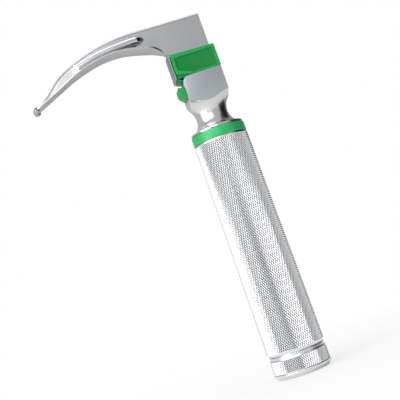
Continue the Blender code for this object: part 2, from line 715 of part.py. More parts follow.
def ball_pocket(side):
    """The bore for a ball and its spring, with a narrower mouth that keeps the ball in."""
    depth = TONGUE_HALF - BALL_LIP
    bore = BALL_RADIUS + PRESS_GAP
    lip = (math.sqrt(BALL_RADIUS**2 - (depth - BALL_Y) ** 2) + BALL_RADIUS) / 2
    out, floor = TONGUE_HALF + 1 * MM, TONGUE_HALF - POCKET_DEPTH
    pocket = turned("pocket_near" if side < 0 else "pocket_far", [
        (0, out), (lip, out), (lip, depth), (bore, depth), (bore, floor), (0, floor),
    ], steps=32)
    turn = Matrix.Rotation(-side * math.pi / 2, 4, "X")
    pocket.matrix_world = Matrix.Translation((BALL_X, 0, PIN_Z - BALL_BELOW_PIN)) @ turn
    return pocket


def detent_spring(name, side):
    """The small spring behind a ball."""
    low = TONGUE_HALF - POCKET_DEPTH + PRESS_GAP
    high = BALL_Y - 0.95 * BALL_RADIUS
    turn = Matrix.Rotation(-side * math.pi / 2, 4, "X")
    place = Matrix.Translation((BALL_X, 0, PIN_Z - BALL_BELOW_PIN)) @ turn
    return spring(name, 1.0 * MM, 0.7 * MM, low, high, 2.5, 0.16 * MM, (0.62, 0.62, 0.64), place)


# Blade ---------------------------------------------------------------------------------------

# Side outlines of the blade: share of the reach from its start, and height above the pin
TOP_POINTS = ((-0.34, 36.3 * MM), (0.01, 36.7 * MM), (0.25, 36.8 * MM), (0.445, 34.9 * MM),
              (0.63, 30.7 * MM), (0.77, 25.6 * MM), (0.895, 17.8 * MM), (1.0, 12.3 * MM))
UNDER_POINTS = ((0.0, 18.7 * MM), (0.095, 21.6 * MM), (0.29, 24.5 * MM), (0.46, 24.0 * MM),
                (0.655, 20.2 * MM), (0.825, 15.0 * MM), (1.0, 9.8 * MM))


def height_at(points, share):
    """Height of the smooth curve through (share, height) points."""
    share = min(max(share, points[0][0]), points[-1][0])
    i = max(k for k in range(len(points) - 1) if points[k][0] <= share)
    (a, low), (b, high) = points[i], points[i + 1]

    def slope(k):
        j, m = max(k - 1, 0), min(k + 1, len(points) - 1)
        return (points[m][1] - points[j][1]) / (points[m][0] - points[j][0])

    t, span = (share - a) / (b - a), b - a
    return ((2 * t**3 - 3 * t**2 + 1) * low + (t**3 - 2 * t**2 + t) * span * slope(i)
            + (3 * t**2 - 2 * t**3) * high + (t**3 - t**2) * span * slope(i + 1))


def ease(share, start, end):
    """0 before start, 1 after end, smooth between."""
    t = min(max((share - start) / (end - start), 0.0), 1.0)
    return t * t * (3 - 2 * t)


def spatula_width(share):
    """Rounded in at the heel end, full width along the blade, narrower at the tip."""
    swell = min(share / 0.11, 1.0)
    width = 2.2 * MM + (SPATULA_WIDTH - 2.2 * MM) * math.sqrt(1 - (1 - swell) ** 2)
    width -= (SPATULA_WIDTH - TIP_WIDTH) * ease(share, 0.6, 0.98)
    return width - 1.2 * MM * ease(share, 0.96, 1.0)


def blade_section(under, top, width, fillet, bend, flange):
    """The blade cut across: a closed loop of (y, height) points.

    It runs along the spatula's upper side, up the web, out along the flange and back
    down the far side. The fillet is the inner radius between spatula and web, the bend
    the outer one.
    """
    half = STEEL / 2
    room = top - under - STEEL
    outer = min(RIM_RADIUS + half, 0.45 * room)
    inner = max(outer - STEEL, 0.05 * MM)
    lip = min(STEEL, 0.5 * room)
    end = half + inner + flange
    droop = 0.12 * flange
    foot, knee = under + STEEL, under + STEEL + fillet
    crown, throat = top - outer, top - lip - inner
    run = width - half - fillet
    loop = [(-width, under)] + [(-width + run * i / 3, foot) for i in range(3)]
    loop += ellipse((-half - fillet, knee), (fillet, fillet), -90, 0, 4)
    loop += [(-half, knee + (crown - knee) * i / 4) for i in range(1, 4)]
    loop += ellipse((outer - half, crown), (outer, outer), 180, 90, 4)
    loop += [(end, top - droop), (end, top - lip - droop)]
    loop += ellipse((half + inner, throat), (inner, inner), 90, 180, 4)
    low = under + bend
    loop += [(half, throat + (low - throat) * i / 4) for i in range(1, 4)]
    loop += ellipse((half - bend, low), (bend, bend), 0, -90, 5)
    loop += [(half - bend + (-width - half + bend) * i / 3, under) for i in (1, 2)]
    return loop


def spatula_section(share):
    """The full section at a share of the reach from the heel end."""
    under, top = height_at(UNDER_POINTS, share), height_at(TOP_POINTS, share)
    room = top - under - STEEL
    fillet = min((0.8 + 1.8 * ease(share, 0.1, 0.4)) * MM, 0.4 * room)
    flange = FLANGE_WIDTH * (1 - 0.97 * ease(share, 0.55, 0.93))
    return blade_section(under, top, spatula_width(share), fillet, fillet + STEEL, flange)


def web_section(x):
    """The section behind the spatula: web and flange only, down to the tang's bottom."""
    front, rear = tang_ends()
    under = height_at(UNDER_POINTS, 0.0)
    if front <= x <= rear:
        under = TANG_BOTTOM
    elif x > rear:
        under = BLOCK_TOP + SEAT_GAP
    top = height_at(TOP_POINTS, (BLADE_START - x) / BLADE_REACH)
    sliver = 0.05 * MM
    return blade_section(under, top, STEEL / 2 + 2 * sliver, sliver, 4 * sliver, FLANGE_WIDTH)


def blade_body():
    """The pressed sheet, lofted through its sections from the rear edge to the tip."""
    front, rear = tang_ends()
    step = 0.02 * MM
    sections = [(x, web_section(x)) for x in (
        WEB_REAR, rear + step, rear, 5.0 * MM, 0.0, -5.0 * MM, front, front - step,
        BLADE_START + step)]
    shares = [0.0, 0.006, 0.016, 0.03, 0.05, 0.08] + [0.11 + 0.89 * i / 21 for i in range(22)]
    sections += [(BLADE_START - BLADE_REACH * share, spatula_section(share)) for share in shares]
    points = [(x, y, PIN_Z + z) for x, loop in sections for y, z in loop]
    count = len(sections[0][1])
    faces = [tuple(reversed(range(count))), tuple(range(len(points) - count, len(points)))]
    for row in range(len(sections) - 1):
        for k in range(count):
            a, b = row * count + k, row * count + (k + 1) % count
            faces.append((a, b, b + count, a + count))
    mesh = bpy.data.meshes.new("blade_steel")
    mesh.from_pydata(points, [], faces)
    return piece("blade_steel", mesh, (0.6, 0.6, 0.61), roughness=0.3)


def tip_bead():
    """The rounded bead across the spatula's tip."""
    half = STEEL / 2
    z = PIN_Z + height_at(UNDER_POINTS, 1.0) + half
    width = spatula_width(1.0)
    route = [(TIP_X + 1.2 * MM, 0.6 * MM, z + 0.5 * MM), (TIP_X + 0.3 * MM, -0.6 * MM, z)]
    route += [(TIP_X, -0.25 * width, z), (TIP_X, -0.75 * width, z)]
    route += [(TIP_X + 0.3 * MM, -width + 0.6 * MM, z), (TIP_X + 1.2 * MM, -width - 0.3 * MM,
                                                        z + 0.5 * MM)]
    return rod("tip_bead", route, TIP_BEAD)


def blade_steel():
    """The steel blade, with its tip bead, pin holes and the light guide's way through."""
    blade = blade_body()
    combine(blade, tip_bead(), "UNION")
    combine(blade, rod("guide_way", guide_route(), GUIDE_RADIUS + SEAT_GAP, smooth=4), "DIFFERENCE")
    for x in (-HEEL_PIN_X, HEEL_PIN_X):
        combine(blade, heel_pin("tang_hole", x, HEEL_PIN_RADIUS + PRESS_GAP, 1 * MM, 1 * MM),
                "DIFFERENCE")
    return blade


# Light guide ----------------------------------------------------------------------------------


def guide_route():
    """The bundle's way: up the tongue, up the far side of the web, through it, and forward."""
    side = GUIDE_OFFSET
    bottom = -HOOK_RADIUS + 2 * SEAT_GAP + WINDOW_DEPTH
    places = [
        (0.0, 0.0, bottom), (0.0, 0.0, -2.0 * MM), (0.0, 0.5 * MM, 2.0 * MM),
        (0.0, side - 0.2 * MM, 7.0 * MM), (0.0, side, 14.0 * MM), (-1.0 * MM, side, 21.5 * MM),
        (-6.5 * MM, side, 27.8 * MM),
    ]
    # past the heel, the points go with the blade: they were set on one reaching 71.4 mm
    stretch = BLADE_REACH / 71.4
    places += [(BLADE_START - forward * stretch, across * side, height * MM)
               for forward, across, height in (
                   (0.8, 1, 30.4), (6.8, 0.75, 30.9), (11.8, -0.75, 30.8), (17.8, -1, 30.4),
                   (31.8, -1, 29.1), (44.3, -1, 26.2))]
    return [Vector((x, y, PIN_Z + z)) for x, y, z in places]


def light_guide():
    """The steel-sheathed fibre bundle."""
    return rod("light_guide", guide_route(), GUIDE_RADIUS, (0.66, 0.66, 0.66), smooth=4,
               roughness=0.2)


def window(name, centre, direction, radius):
    """A glass disc whose axis lies along a direction."""
    half = WINDOW_DEPTH / 2
    obj = turned(name, [(0, half), (radius - 0.2 * MM, half), (radius, half - 0.2 * MM),
                        (radius, -half), (0, -half)], (0.95, 0.93, 0.8), steps=24,
                 roughness=0.05, metallic=0.0)
    turn = Vector((0, 0, 1)).rotation_difference(direction).to_matrix().to_4x4()
    obj.matrix_world = Matrix.Translation(centre) @ turn
    return obj


def inlet_window():
    """The polished end that takes in the lamp's light."""
    centre = guide_route()[0] - Vector((0, 0, SEAT_GAP + WINDOW_DEPTH / 2))
    return window("inlet_window", centre, Vector((0, 0, -1)), GUIDE_RADIUS)


def outlet_window():
    """The window that throws the light past the blade's tip."""
    route = guide_route()
    direction = (route[-1] - route[-2]).normalized()
    # the bundle's last stretch steepens, so its end leans a little further than its chord
    direction = (direction + Vector((0, 0, -0.06))).normalized()
    centre = route[-1] + direction * (SEAT_GAP + WINDOW_DEPTH / 2)
    return window("outlet_window", centre, direction, GUIDE_RADIUS)


def inlet_ferrule():
    """The sleeve round the bundle's lower end."""
    inner = GUIDE_RADIUS + SEAT_GAP
    outer = inner + FERRULE_WALL
    low, high = TONGUE_BOTTOM + PRESS_GAP, TONGUE_BOTTOM + 3.2 * MM
    return turned("inlet_ferrule", [(outer, high), (outer, low), (inner, low), (inner, high)],
                  (0.72, 0.72, 0.73), closed=True, steps=32, roughness=0.2)


# Assembly --------------------------------------------------------------------------------------

empty_scene()
PARTS = new_collection("laryngoscope")
HELPERS = new_collection("helpers")
HELPERS.hide_render = True

grip_tube()
colour_ring()
head_fitting()
hook_pin()
head_seal()
contact_carrier()
carrier_clip()
battery_contact()
lamp_spring()
cell("lower_cell", CELLS_BOTTOM)
cell("upper_cell", CELLS_BOTTOM + CELL_LENGTH + SEAT_GAP)

lamp_axis = joint_at("lamp_axis", Vector((0, 0, FLOOR_Z)))
carry(lamp_axis, [lamp_sleeve(), lamp_base(), lamp_bulb(), lamp_contact()])

cap_axis = joint_at("cap_axis", Vector((0, 0, 0)))
carry(cap_axis, [base_cap(), cap_seal(), cap_contact(), cap_spring()])

blade_pivot = joint_at("blade_pivot", Vector((PIN_X, 0, PIN_Z)))
pin_steel = (0.7, 0.7, 0.72)
carry(blade_pivot, [
    blade_steel(), heel_block(), heel_plate(), light_guide(), inlet_window(), inlet_ferrule(),
    outlet_window(), heel_pin("heel_pin_front", -HEEL_PIN_X, colour=pin_steel),
    heel_pin("heel_pin_rear", HEEL_PIN_X, colour=pin_steel),
    detent_spring("detent_spring_near", -1), detent_spring("detent_spring_far", 1),
    ball("detent_ball_near", -1, colour=pin_steel), ball("detent_ball_far", 1, colour=pin_steel),
])
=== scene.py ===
import json
import math

import bmesh
import bpy
from mathutils import Matrix, Vector


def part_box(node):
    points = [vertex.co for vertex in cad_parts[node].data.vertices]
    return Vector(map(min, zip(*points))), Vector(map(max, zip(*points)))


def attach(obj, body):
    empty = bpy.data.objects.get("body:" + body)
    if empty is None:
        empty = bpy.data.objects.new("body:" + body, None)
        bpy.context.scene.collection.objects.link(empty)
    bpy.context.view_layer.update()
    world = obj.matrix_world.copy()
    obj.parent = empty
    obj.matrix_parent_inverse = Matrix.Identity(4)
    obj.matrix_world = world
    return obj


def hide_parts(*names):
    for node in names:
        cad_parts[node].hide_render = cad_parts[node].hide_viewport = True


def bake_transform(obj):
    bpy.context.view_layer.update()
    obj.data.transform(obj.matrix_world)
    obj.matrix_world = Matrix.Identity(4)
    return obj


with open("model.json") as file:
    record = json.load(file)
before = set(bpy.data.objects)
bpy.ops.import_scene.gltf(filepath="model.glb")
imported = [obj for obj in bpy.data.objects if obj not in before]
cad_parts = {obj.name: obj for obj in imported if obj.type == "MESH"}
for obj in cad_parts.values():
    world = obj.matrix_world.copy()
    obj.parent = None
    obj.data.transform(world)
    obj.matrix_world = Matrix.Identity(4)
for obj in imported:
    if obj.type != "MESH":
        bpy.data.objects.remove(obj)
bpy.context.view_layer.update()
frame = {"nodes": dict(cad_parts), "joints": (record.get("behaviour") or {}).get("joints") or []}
mm = 0.001
joints = {joint["name"]: joint for joint in frame["joints"]}
pivot = Vector(joints["blade_fold"]["pos_m"])

# --- Studio -----------------------------------------------------------------------------
# A white sweep lit by two large soft boxes. Grey and dark cards stand outside the view,
# as a product photographer sets them, so that the polished metal has something to mirror.

studio = bpy.context.scene
studio.view_settings.view_transform = "Standard"


def aim(thing, place, target, roll=0.0):
    """Stand a lamp, card or camera at a place, looking at a target."""
    away = (Vector(place) - Vector(target)).normalized()
    right = Vector((0, 0, 1)).cross(away).normalized()
    up = away.cross(right)
    turn = Matrix((right, up, away)).transposed().to_4x4()
    thing.matrix_world = Matrix.Translation(place) @ turn @ Matrix.Rotation(roll, 4, "Z")


camera_data = bpy.data.cameras.new("camera")
camera_data.sensor_width = 36.0
camera_data.lens = 85.8
camera_data.clip_start = 0.01
camera = bpy.data.objects.new("camera", camera_data)
studio.collection.objects.link(camera)
aim(camera, (-0.0796, -0.4805, 0.0566), (-0.0206, 0, 0.099), roll=math.radians(-19.6))
studio.camera = camera

for lamp_name, place, target, width, height, power in (
    ("key_box", (-0.72, -0.45, 0.3), (0, 0, 0.1), 0.7, 1.0, 5.2),
    ("front_box", (-0.3, -0.8, 0.45), (0, 0, 0.1), 0.5, 0.6, 2.2),
    ("top_box", (0.0, 0.15, 0.75), (0, 0, 0.1), 0.5, 0.5, 1.2),
):
    lamp_data = bpy.data.lights.new(lamp_name, "AREA")
    lamp_data.shape = "RECTANGLE"
    lamp_data.size, lamp_data.size_y, lamp_data.energy = width, height, power
    lamp = bpy.data.objects.new(lamp_name, lamp_data)
    studio.collection.objects.link(lamp)
    aim(lamp, place, target)


def link(tree, *pairs):
    """Join sockets, given as output, input, output, input."""
    for source, target in zip(pairs[::2], pairs[1::2]):
        tree.links.new(source, target)


def ray_is(tree, *kinds):
    """A mask that is 1 for light paths of any of the kinds."""
    path = tree.nodes.new("ShaderNodeLightPath")
    mask = path.outputs[kinds[0]]
    for kind in kinds[1:]:
        either = tree.nodes.new("ShaderNodeMath")
        either.operation = "MAXIMUM"
        link(tree, mask, either.inputs[0], path.outputs[kind], either.inputs[1])
        mask = either.outputs[0]
    return mask


world = bpy.data.worlds.new("studio")
studio.world = world
world.use_nodes = True
sky = world.node_tree
sky.nodes.clear()
sky_out = sky.nodes.new("ShaderNodeOutputWorld")
sky_mix = sky.nodes.new("ShaderNodeMixShader")
sky_seen = sky.nodes.new("ShaderNodeBackground")
sky_light = sky.nodes.new("ShaderNodeBackground")
sky_seen.inputs["Color"].default_value = (1, 1, 1, 1)
sky_light.inputs["Color"].default_value = (0.96, 0.98, 1, 1)
sky_light.inputs["Strength"].default_value = 0.6
link(sky, ray_is(sky, "Is Camera Ray", "Is Transmission Ray"),
     sky_mix.inputs[0], sky_light.outputs[0], sky_mix.inputs[1], sky_seen.outputs[0],
     sky_mix.inputs[2], sky_mix.outputs[0], sky_out.inputs["Surface"])

bpy.ops.mesh.primitive_plane_add(size=6.0, location=(0, 0, -0.0002))
floor = bpy.context.object
floor.name = "floor"
floor_finish = bpy.data.materials.new("paper_floor")
floor_finish.use_nodes = True
paper = floor_finish.node_tree
paper.nodes.clear()
paper_out = paper.nodes.new("ShaderNodeOutputMaterial")
paper_mix = paper.nodes.new("ShaderNodeMixShader")
paper_matt = paper.nodes.new("ShaderNodeBsdfDiffuse")
paper_white = paper.nodes.new("ShaderNodeEmission")
paper_matt.inputs["Color"].default_value = (0.9, 0.9, 0.9, 1)
paper_share = paper.nodes.new("ShaderNodeMath")
paper_share.operation = "MULTIPLY"
paper_space = paper.nodes.new("ShaderNodeTexCoord")
paper_reach = paper.nodes.new("ShaderNodeVectorMath")
paper_reach.operation = "LENGTH"
paper_fade = paper.nodes.new("ShaderNodeMapRange")
paper_fade.inputs["From Min"].default_value = 0.02
paper_fade.inputs["From Max"].default_value = 0.22
paper_fade.inputs["To Min"].default_value = 0.6
link(paper, paper_space.outputs["Object"], paper_reach.inputs[0],
     paper_reach.outputs["Value"], paper_fade.inputs["Value"],
     paper_fade.outputs["Result"], paper_share.inputs[1],
     ray_is(paper, "Is Camera Ray", "Is Transmission Ray"),
     paper_share.inputs[0], paper_share.outputs[0], paper_mix.inputs[0],
     paper_matt.outputs[0], paper_mix.inputs[1], paper_white.outputs[0], paper_mix.inputs[2],
     paper_mix.outputs[0], paper_out.inputs["Surface"])
floor.data.materials.append(floor_finish)

for card_name, place, target, width, height, shade in (
    ("dark_card", (0.33, 0.0, 0.12), (0, 0, 0.1), 0.42, 0.95, 0.01),
    ("grey_card", (-0.3, -0.62, 0.02), (0, 0, 0.12), 0.10, 0.5, 0.3),
    ("back_card", (0.3, 0.45, 0.3), (0, 0, 0.1), 0.5, 0.9, 0.3),
    ("low_card", (-0.1, -0.35, -0.0001), (-0.1, -0.35, 1.0), 0.9, 0.5, 0.25),
):
    bpy.ops.mesh.primitive_plane_add(size=1.0)
    card = bpy.context.object
    card.name = card_name
    aim(card, place, target)
    card.matrix_world = card.matrix_world @ Matrix.Diagonal((width, height, 1, 1))
    card_finish = bpy.data.materials.new(card_name)
    card_finish.use_nodes = True
    felt = card_finish.node_tree
    felt.nodes.clear()
    felt_out = felt.nodes.new("ShaderNodeOutputMaterial")
    felt_glow = felt.nodes.new("ShaderNodeEmission")
    felt_glow.inputs["Color"].default_value = (shade, shade, shade, 1)
    link(felt, felt_glow.outputs[0], felt_out.inputs["Surface"])
    card.data.materials.append(card_finish)
    card.visible_camera = card.visible_diffuse = False
    card.visible_shadow = card.visible_transmission = False

# --- Grip tube --------------------------------------------------------------------------
# The battery tube is turned brass, satin plated, slightly wider at the base. Its grip is
# rolled with a diamond knurl between a plain groove above the cap and the coloured ring.


def surface_marks():
    """Shader group: fine grain and broad handling marks, in the piece's own space."""
    group = bpy.data.node_groups.new("surface_marks", "ShaderNodeTree")
    faces = group.interface
    faces.new_socket("Grain Scale", in_out="INPUT", socket_type="NodeSocketVector")
    faces.new_socket("Mark Scale", in_out="INPUT", socket_type="NodeSocketFloat")
    faces.new_socket("Grain", in_out="OUTPUT", socket_type="NodeSocketFloat")
    faces.new_socket("Marks", in_out="OUTPUT", socket_type="NodeSocketFloat")
    entry = group.nodes.new("NodeGroupInput")
    leave = group.nodes.new("NodeGroupOutput")
    space = group.nodes.new("ShaderNodeTexCoord")
    stretch = group.nodes.new("ShaderNodeMapping")
    grain = group.nodes.new("ShaderNodeTexNoise")
    grain.inputs["Scale"].default_value = 1.0
    grain.inputs["Detail"].default_value = 3.0
    marks = group.nodes.new("ShaderNodeTexNoise")
    marks.inputs["Detail"].default_value = 5.0
    marks.inputs["Roughness"].default_value = 0.62
    spread = group.nodes.new("ShaderNodeMapRange")
    spread.inputs["From Min"].default_value = 0.35
    spread.inputs["From Max"].default_value = 0.68
    link(group, space.outputs["Object"], stretch.inputs["Vector"],
         entry.outputs["Grain Scale"], stretch.inputs["Scale"],
         stretch.outputs["Vector"], grain.inputs["Vector"],
         space.outputs["Object"], marks.inputs["Vector"],
         entry.outputs["Mark Scale"], marks.inputs["Scale"],
         marks.outputs["Fac"], spread.inputs["Value"],
         grain.outputs["Fac"], leave.inputs["Grain"],
         spread.outputs["Result"], leave.inputs["Marks"])
    return group


marks_group = surface_marks()


def finish(name, colour, worn, rough, grain=(900, 900, 900), depth=0.01, marks=90.0, metal=1.0,
           coat=0.0):
    """A material: colour and a worn colour, two roughness values, and a grain's scale and depth."""
    made = bpy.data.materials.new(name)
    made.use_nodes = True
    tree = made.node_tree
    shader = tree.nodes["Principled BSDF"]
    shader.inputs["Metallic"].default_value = metal
    shader.inputs["Coat Weight"].default_value = coat
    shader.inputs["Coat Roughness"].default_value = 0.08
    surface = tree.nodes.new("ShaderNodeGroup")
    surface.node_tree = marks_group
    surface.name = "surface"
    surface.inputs["Grain Scale"].default_value = grain
    surface.inputs["Mark Scale"].default_value = marks
    tint = tree.nodes.new("ShaderNodeMix")
    tint.data_type = "RGBA"
    tint.name = "tint"
    tint.inputs["A"].default_value = (*colour, 1)
    tint.inputs["B"].default_value = (*worn, 1)
    gloss = tree.nodes.new("ShaderNodeMapRange")
    gloss.name = "gloss"
    gloss.inputs["To Min"].default_value, gloss.inputs["To Max"].default_value = rough
    bump = tree.nodes.new("ShaderNodeBump")
    bump.name = "bump"
    bump.inputs["Strength"].default_value = 1.0
    bump.inputs["Distance"].default_value = depth * mm
    link(tree, surface.outputs["Marks"], tint.inputs["Factor"],
         tint.outputs["Result"], shader.inputs["Base Color"],
         surface.outputs["Marks"], gloss.inputs["Value"],
         gloss.outputs["Result"], shader.inputs["Roughness"],
         surface.outputs["Grain"], bump.inputs["Height"],
         bump.outputs["Normal"], shader.inputs["Normal"])
    return made


def lathe(profile, steps=144):
    """A closed turned mesh from a loop of (radius, height) points, outer side first."""
    form = bmesh.new()
    rings = []
    for radius, height in profile:
        if radius < 1e-7:
            rings.append([form.verts.new((0, 0, height))] * steps)
        else:
            rings.append([form.verts.new((radius * math.cos(math.tau * k / steps),
                                          radius * math.sin(math.tau * k / steps), height))
                          for k in range(steps)])
    for upper, lower in zip(rings, rings[1:] + rings[:1]):
        for k in range(steps):
            j = (k + 1) % steps
            corners = list(dict.fromkeys((upper[k], lower[k], lower[j], upper[j])))
            if len(corners) > 2:
                form.faces.new(corners)
    bmesh.ops.recalc_face_normals(form, faces=form.faces)
    return form


def rounded(points, steps=5):
    """A closed outline with its corners rounded: each point is (x, z) or (x, z, radius)."""
    outline = []
    count = len(points)
    for i, point in enumerate(points):
        here = Vector(point[:2])
        radius = point[2] if len(point) > 2 else 0.0
        if radius <= 0.0:
            outline.append(tuple(here))
            continue
        before = (Vector(points[i - 1][:2]) - here).normalized()
        after = (Vector(points[(i + 1) % count][:2]) - here).normalized()
        half = before.angle(after) / 2
        reach = radius / math.tan(half)
        centre = here + (before + after).normalized() * radius / math.sin(half)
        first, last = here + before * reach - centre, here + after * reach - centre
        swing = first.angle_signed(last)
        for k in range(steps + 1):
            turn = -swing * k / steps
            spoke = Vector((first.x * math.cos(turn) - first.y * math.sin(turn),
                            first.x * math.sin(turn) + first.y * math.cos(turn)))
            outline.append(tuple(centre + spoke))
    return outline


def show(name, form, material, body, replaced=(), sharp=32.0):
    """Make a finished piece of a bmesh or mesh, smooth it, and set it on its body."""
    if isinstance(form, bmesh.types.BMesh):
        mesh = bpy.data.meshes.new(name)
        form.to_mesh(mesh)
        form.free()
    else:
        mesh = form
        mesh.name = name
    mesh.materials.clear()
    mesh.materials.append(material)
    mesh.shade_smooth()
    mesh.set_sharp_from_angle(angle=math.radians(sharp))
    thing = bpy.data.objects.new(name, mesh)
    studio.collection.objects.link(thing)
    if body:
        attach(thing, body)
    if replaced:
        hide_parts(*replaced)
    return thing


def socket(tree, name, kind, value=None):
    """A named input on a Geometry Nodes tree."""
    made = tree.interface.new_socket(name, in_out="INPUT", socket_type="NodeSocket" + kind)
    if value is not None:
        made.default_value = value
    return made


def sums(tree, operation, *values):
    """A math node on sockets or numbers."""
    node = tree.nodes.new("ShaderNodeMath")
    node.operation = operation
    for place, value in zip(node.inputs, values):
        if isinstance(value, (int, float)):
            place.default_value = value
        else:
            tree.links.new(value, place)
    return node.outputs[0]


def knurl_tree():
    """Geometry Nodes: a flat field of diamond teeth, welded and wrapped into a taper."""
    tree = bpy.data.node_groups.new("diamond_knurl", "GeometryNodeTree")
    tree.interface.new_socket("Geometry", in_out="OUTPUT", socket_type="NodeSocketGeometry")
    socket(tree, "Teeth Around", "Int", 80)
    socket(tree, "Rows", "Int", 100)
    for name in ("Bottom", "Top", "Bottom Radius", "Top Radius", "Tooth Height"):
        socket(tree, name, "Float")
    socket(tree, "Flat Share", "Float", 0.2)
    socket(tree, "Material", "Material")
    new = tree.nodes.new
    entry, leave = new("NodeGroupInput").outputs, new("NodeGroupOutput")
    around, rows = entry["Teeth Around"], entry["Rows"]
    step = sums(tree, "DIVIDE", 1.0, around)
    rise = sums(tree, "DIVIDE", 1.0, sums(tree, "SUBTRACT", rows, 1))

    field = new("GeometryNodeMeshGrid")
    tree.links.new(around, field.inputs["Vertices X"])
    tree.links.new(rows, field.inputs["Vertices Y"])
    tree.links.new(sums(tree, "SUBTRACT", 1.0, step), field.inputs["Size X"])
    field.inputs["Size Y"].default_value = 1.0
    index = new("GeometryNodeInputIndex").outputs[0]
    odd = sums(tree, "MODULO", sums(tree, "MODULO", index, rows), 2)
    shift = new("ShaderNodeCombineXYZ")
    tree.links.new(sums(tree, "MULTIPLY", odd, sums(tree, "DIVIDE", step, 2)), shift.inputs[0])
    stagger = new("GeometryNodeSetPosition")
    tree.links.new(field.outputs["Mesh"], stagger.inputs["Geometry"])
    tree.links.new(shift.outputs[0], stagger.inputs["Offset"])

    tooth = new("GeometryNodeMeshCone")
    tooth.fill_type = "NGON"
    tooth.inputs["Vertices"].default_value = 4
    tooth.inputs["Radius Bottom"].default_value = 1.0
    tooth.inputs["Depth"].default_value = 1.0
    tree.links.new(entry["Flat Share"], tooth.inputs["Radius Top"])
    open_tooth = new("GeometryNodeDeleteGeometry")
    open_tooth.domain = "FACE"
    tree.links.new(tooth.outputs["Mesh"], open_tooth.inputs["Geometry"])
    tree.links.new(tooth.outputs["Bottom"], open_tooth.inputs["Selection"])
    size = new("ShaderNodeCombineXYZ")
    tree.links.new(sums(tree, "DIVIDE", step, 2), size.inputs[0])
    tree.links.new(rise, size.inputs[1])
    size.inputs[2].default_value = 1.0
    plant = new("GeometryNodeInstanceOnPoints")
    tree.links.new(stagger.outputs[0], plant.inputs["Points"])
    tree.links.new(open_tooth.outputs[0], plant.inputs["Instance"])
    tree.links.new(size.outputs[0], plant.inputs["Scale"])
    real = new("GeometryNodeRealizeInstances")
    tree.links.new(plant.outputs[0], real.inputs[0])
    weld = new("GeometryNodeMergeByDistance")
    weld.inputs["Distance"].default_value = 0.0005
    tree.links.new(real.outputs[0], weld.inputs["Geometry"])

    place = new("ShaderNodeSeparateXYZ")
    tree.links.new(new("GeometryNodeInputPosition").outputs[0], place.inputs[0])
    crest = new("GeometryNodeStoreNamedAttribute")
    crest.data_type = "FLOAT"
    crest.domain = "POINT"
    crest.inputs["Name"].default_value = "crest"
    tree.links.new(weld.outputs[0], crest.inputs["Geometry"])
    tree.links.new(place.outputs[2], crest.inputs["Value"])
    share = sums(tree, "ADD", place.outputs[1], 0.5)
    taper = sums(tree, "MULTIPLY", share, sums(tree, "SUBTRACT", entry["Top Radius"],
                                               entry["Bottom Radius"]))
    tooth_out = sums(tree, "MULTIPLY", place.outputs[2], entry["Tooth Height"])
    radius = sums(tree, "ADD", sums(tree, "ADD", entry["Bottom Radius"], taper), tooth_out)
    angle = sums(tree, "MULTIPLY", place.outputs[0], math.tau)
    wrap = new("ShaderNodeCombineXYZ")
    tree.links.new(sums(tree, "MULTIPLY", radius, sums(tree, "COSINE", angle)), wrap.inputs[0])
    tree.links.new(sums(tree, "MULTIPLY", radius, sums(tree, "SINE", angle)), wrap.inputs[1])
    tall = sums(tree, "SUBTRACT", entry["Top"], entry["Bottom"])
    height = sums(tree, "ADD", entry["Bottom"], sums(tree, "MULTIPLY", share, tall))
    height = sums(tree, "MINIMUM", sums(tree, "MAXIMUM", height, entry["Bottom"]), entry["Top"])
    tree.links.new(height, wrap.inputs[2])
    roll = new("GeometryNodeSetPosition")
    tree.links.new(crest.outputs[0], roll.inputs["Geometry"])
    tree.links.new(wrap.outputs[0], roll.inputs["Position"])
    seam = new("GeometryNodeMergeByDistance")
    seam.inputs["Distance"].default_value = 0.00002
    paint = new("GeometryNodeSetMaterial")
    tree.links.new(roll.outputs[0], seam.inputs["Geometry"])
    tree.links.new(seam.outputs[0], paint.inputs["Geometry"])
    tree.links.new(entry["Material"], paint.inputs["Material"])
    tree.links.new(paint.outputs[0], leave.inputs[0])
    return tree


def grown(tree, **values):
    """The plain mesh that a Geometry Nodes tree makes with the named values."""
    mesh = bpy.data.meshes.new(tree.name)
    seed = bpy.data.objects.new(tree.name, mesh)
    studio.collection.objects.link(seed)
    growth = seed.modifiers.new("growth", "NODES")
    growth.node_group = tree
    for item in tree.interface.items_tree:
        if item.in_out == "INPUT" and item.name.replace(" ", "_").lower() in values:
            growth[item.identifier] = values[item.name.replace(" ", "_").lower()]
    bpy.context.view_layer.update()
    graph = bpy.context.evaluated_depsgraph_get()
    result = bpy.data.meshes.new_from_object(seed.evaluated_get(graph))
    seed.modifiers.remove(growth)
    bpy.data.objects.remove(seed)
    return result


tube_low, tube_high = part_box("grip_tube")
tube_radius = tube_high.x
tube_top_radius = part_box("colour_ring")[1].x
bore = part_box("cap_seal")[1].x + 0.1 * mm
tooth_height = 0.34 * mm

plated = finish("satin_plate", (0.86, 0.86, 0.87), (0.8, 0.8, 0.82), (0.2, 0.28), depth=0.002)
knurled = finish("knurled_plate", (1, 1, 1), (0.94, 0.94, 0.95), (0.13, 0.18), depth=0.002)
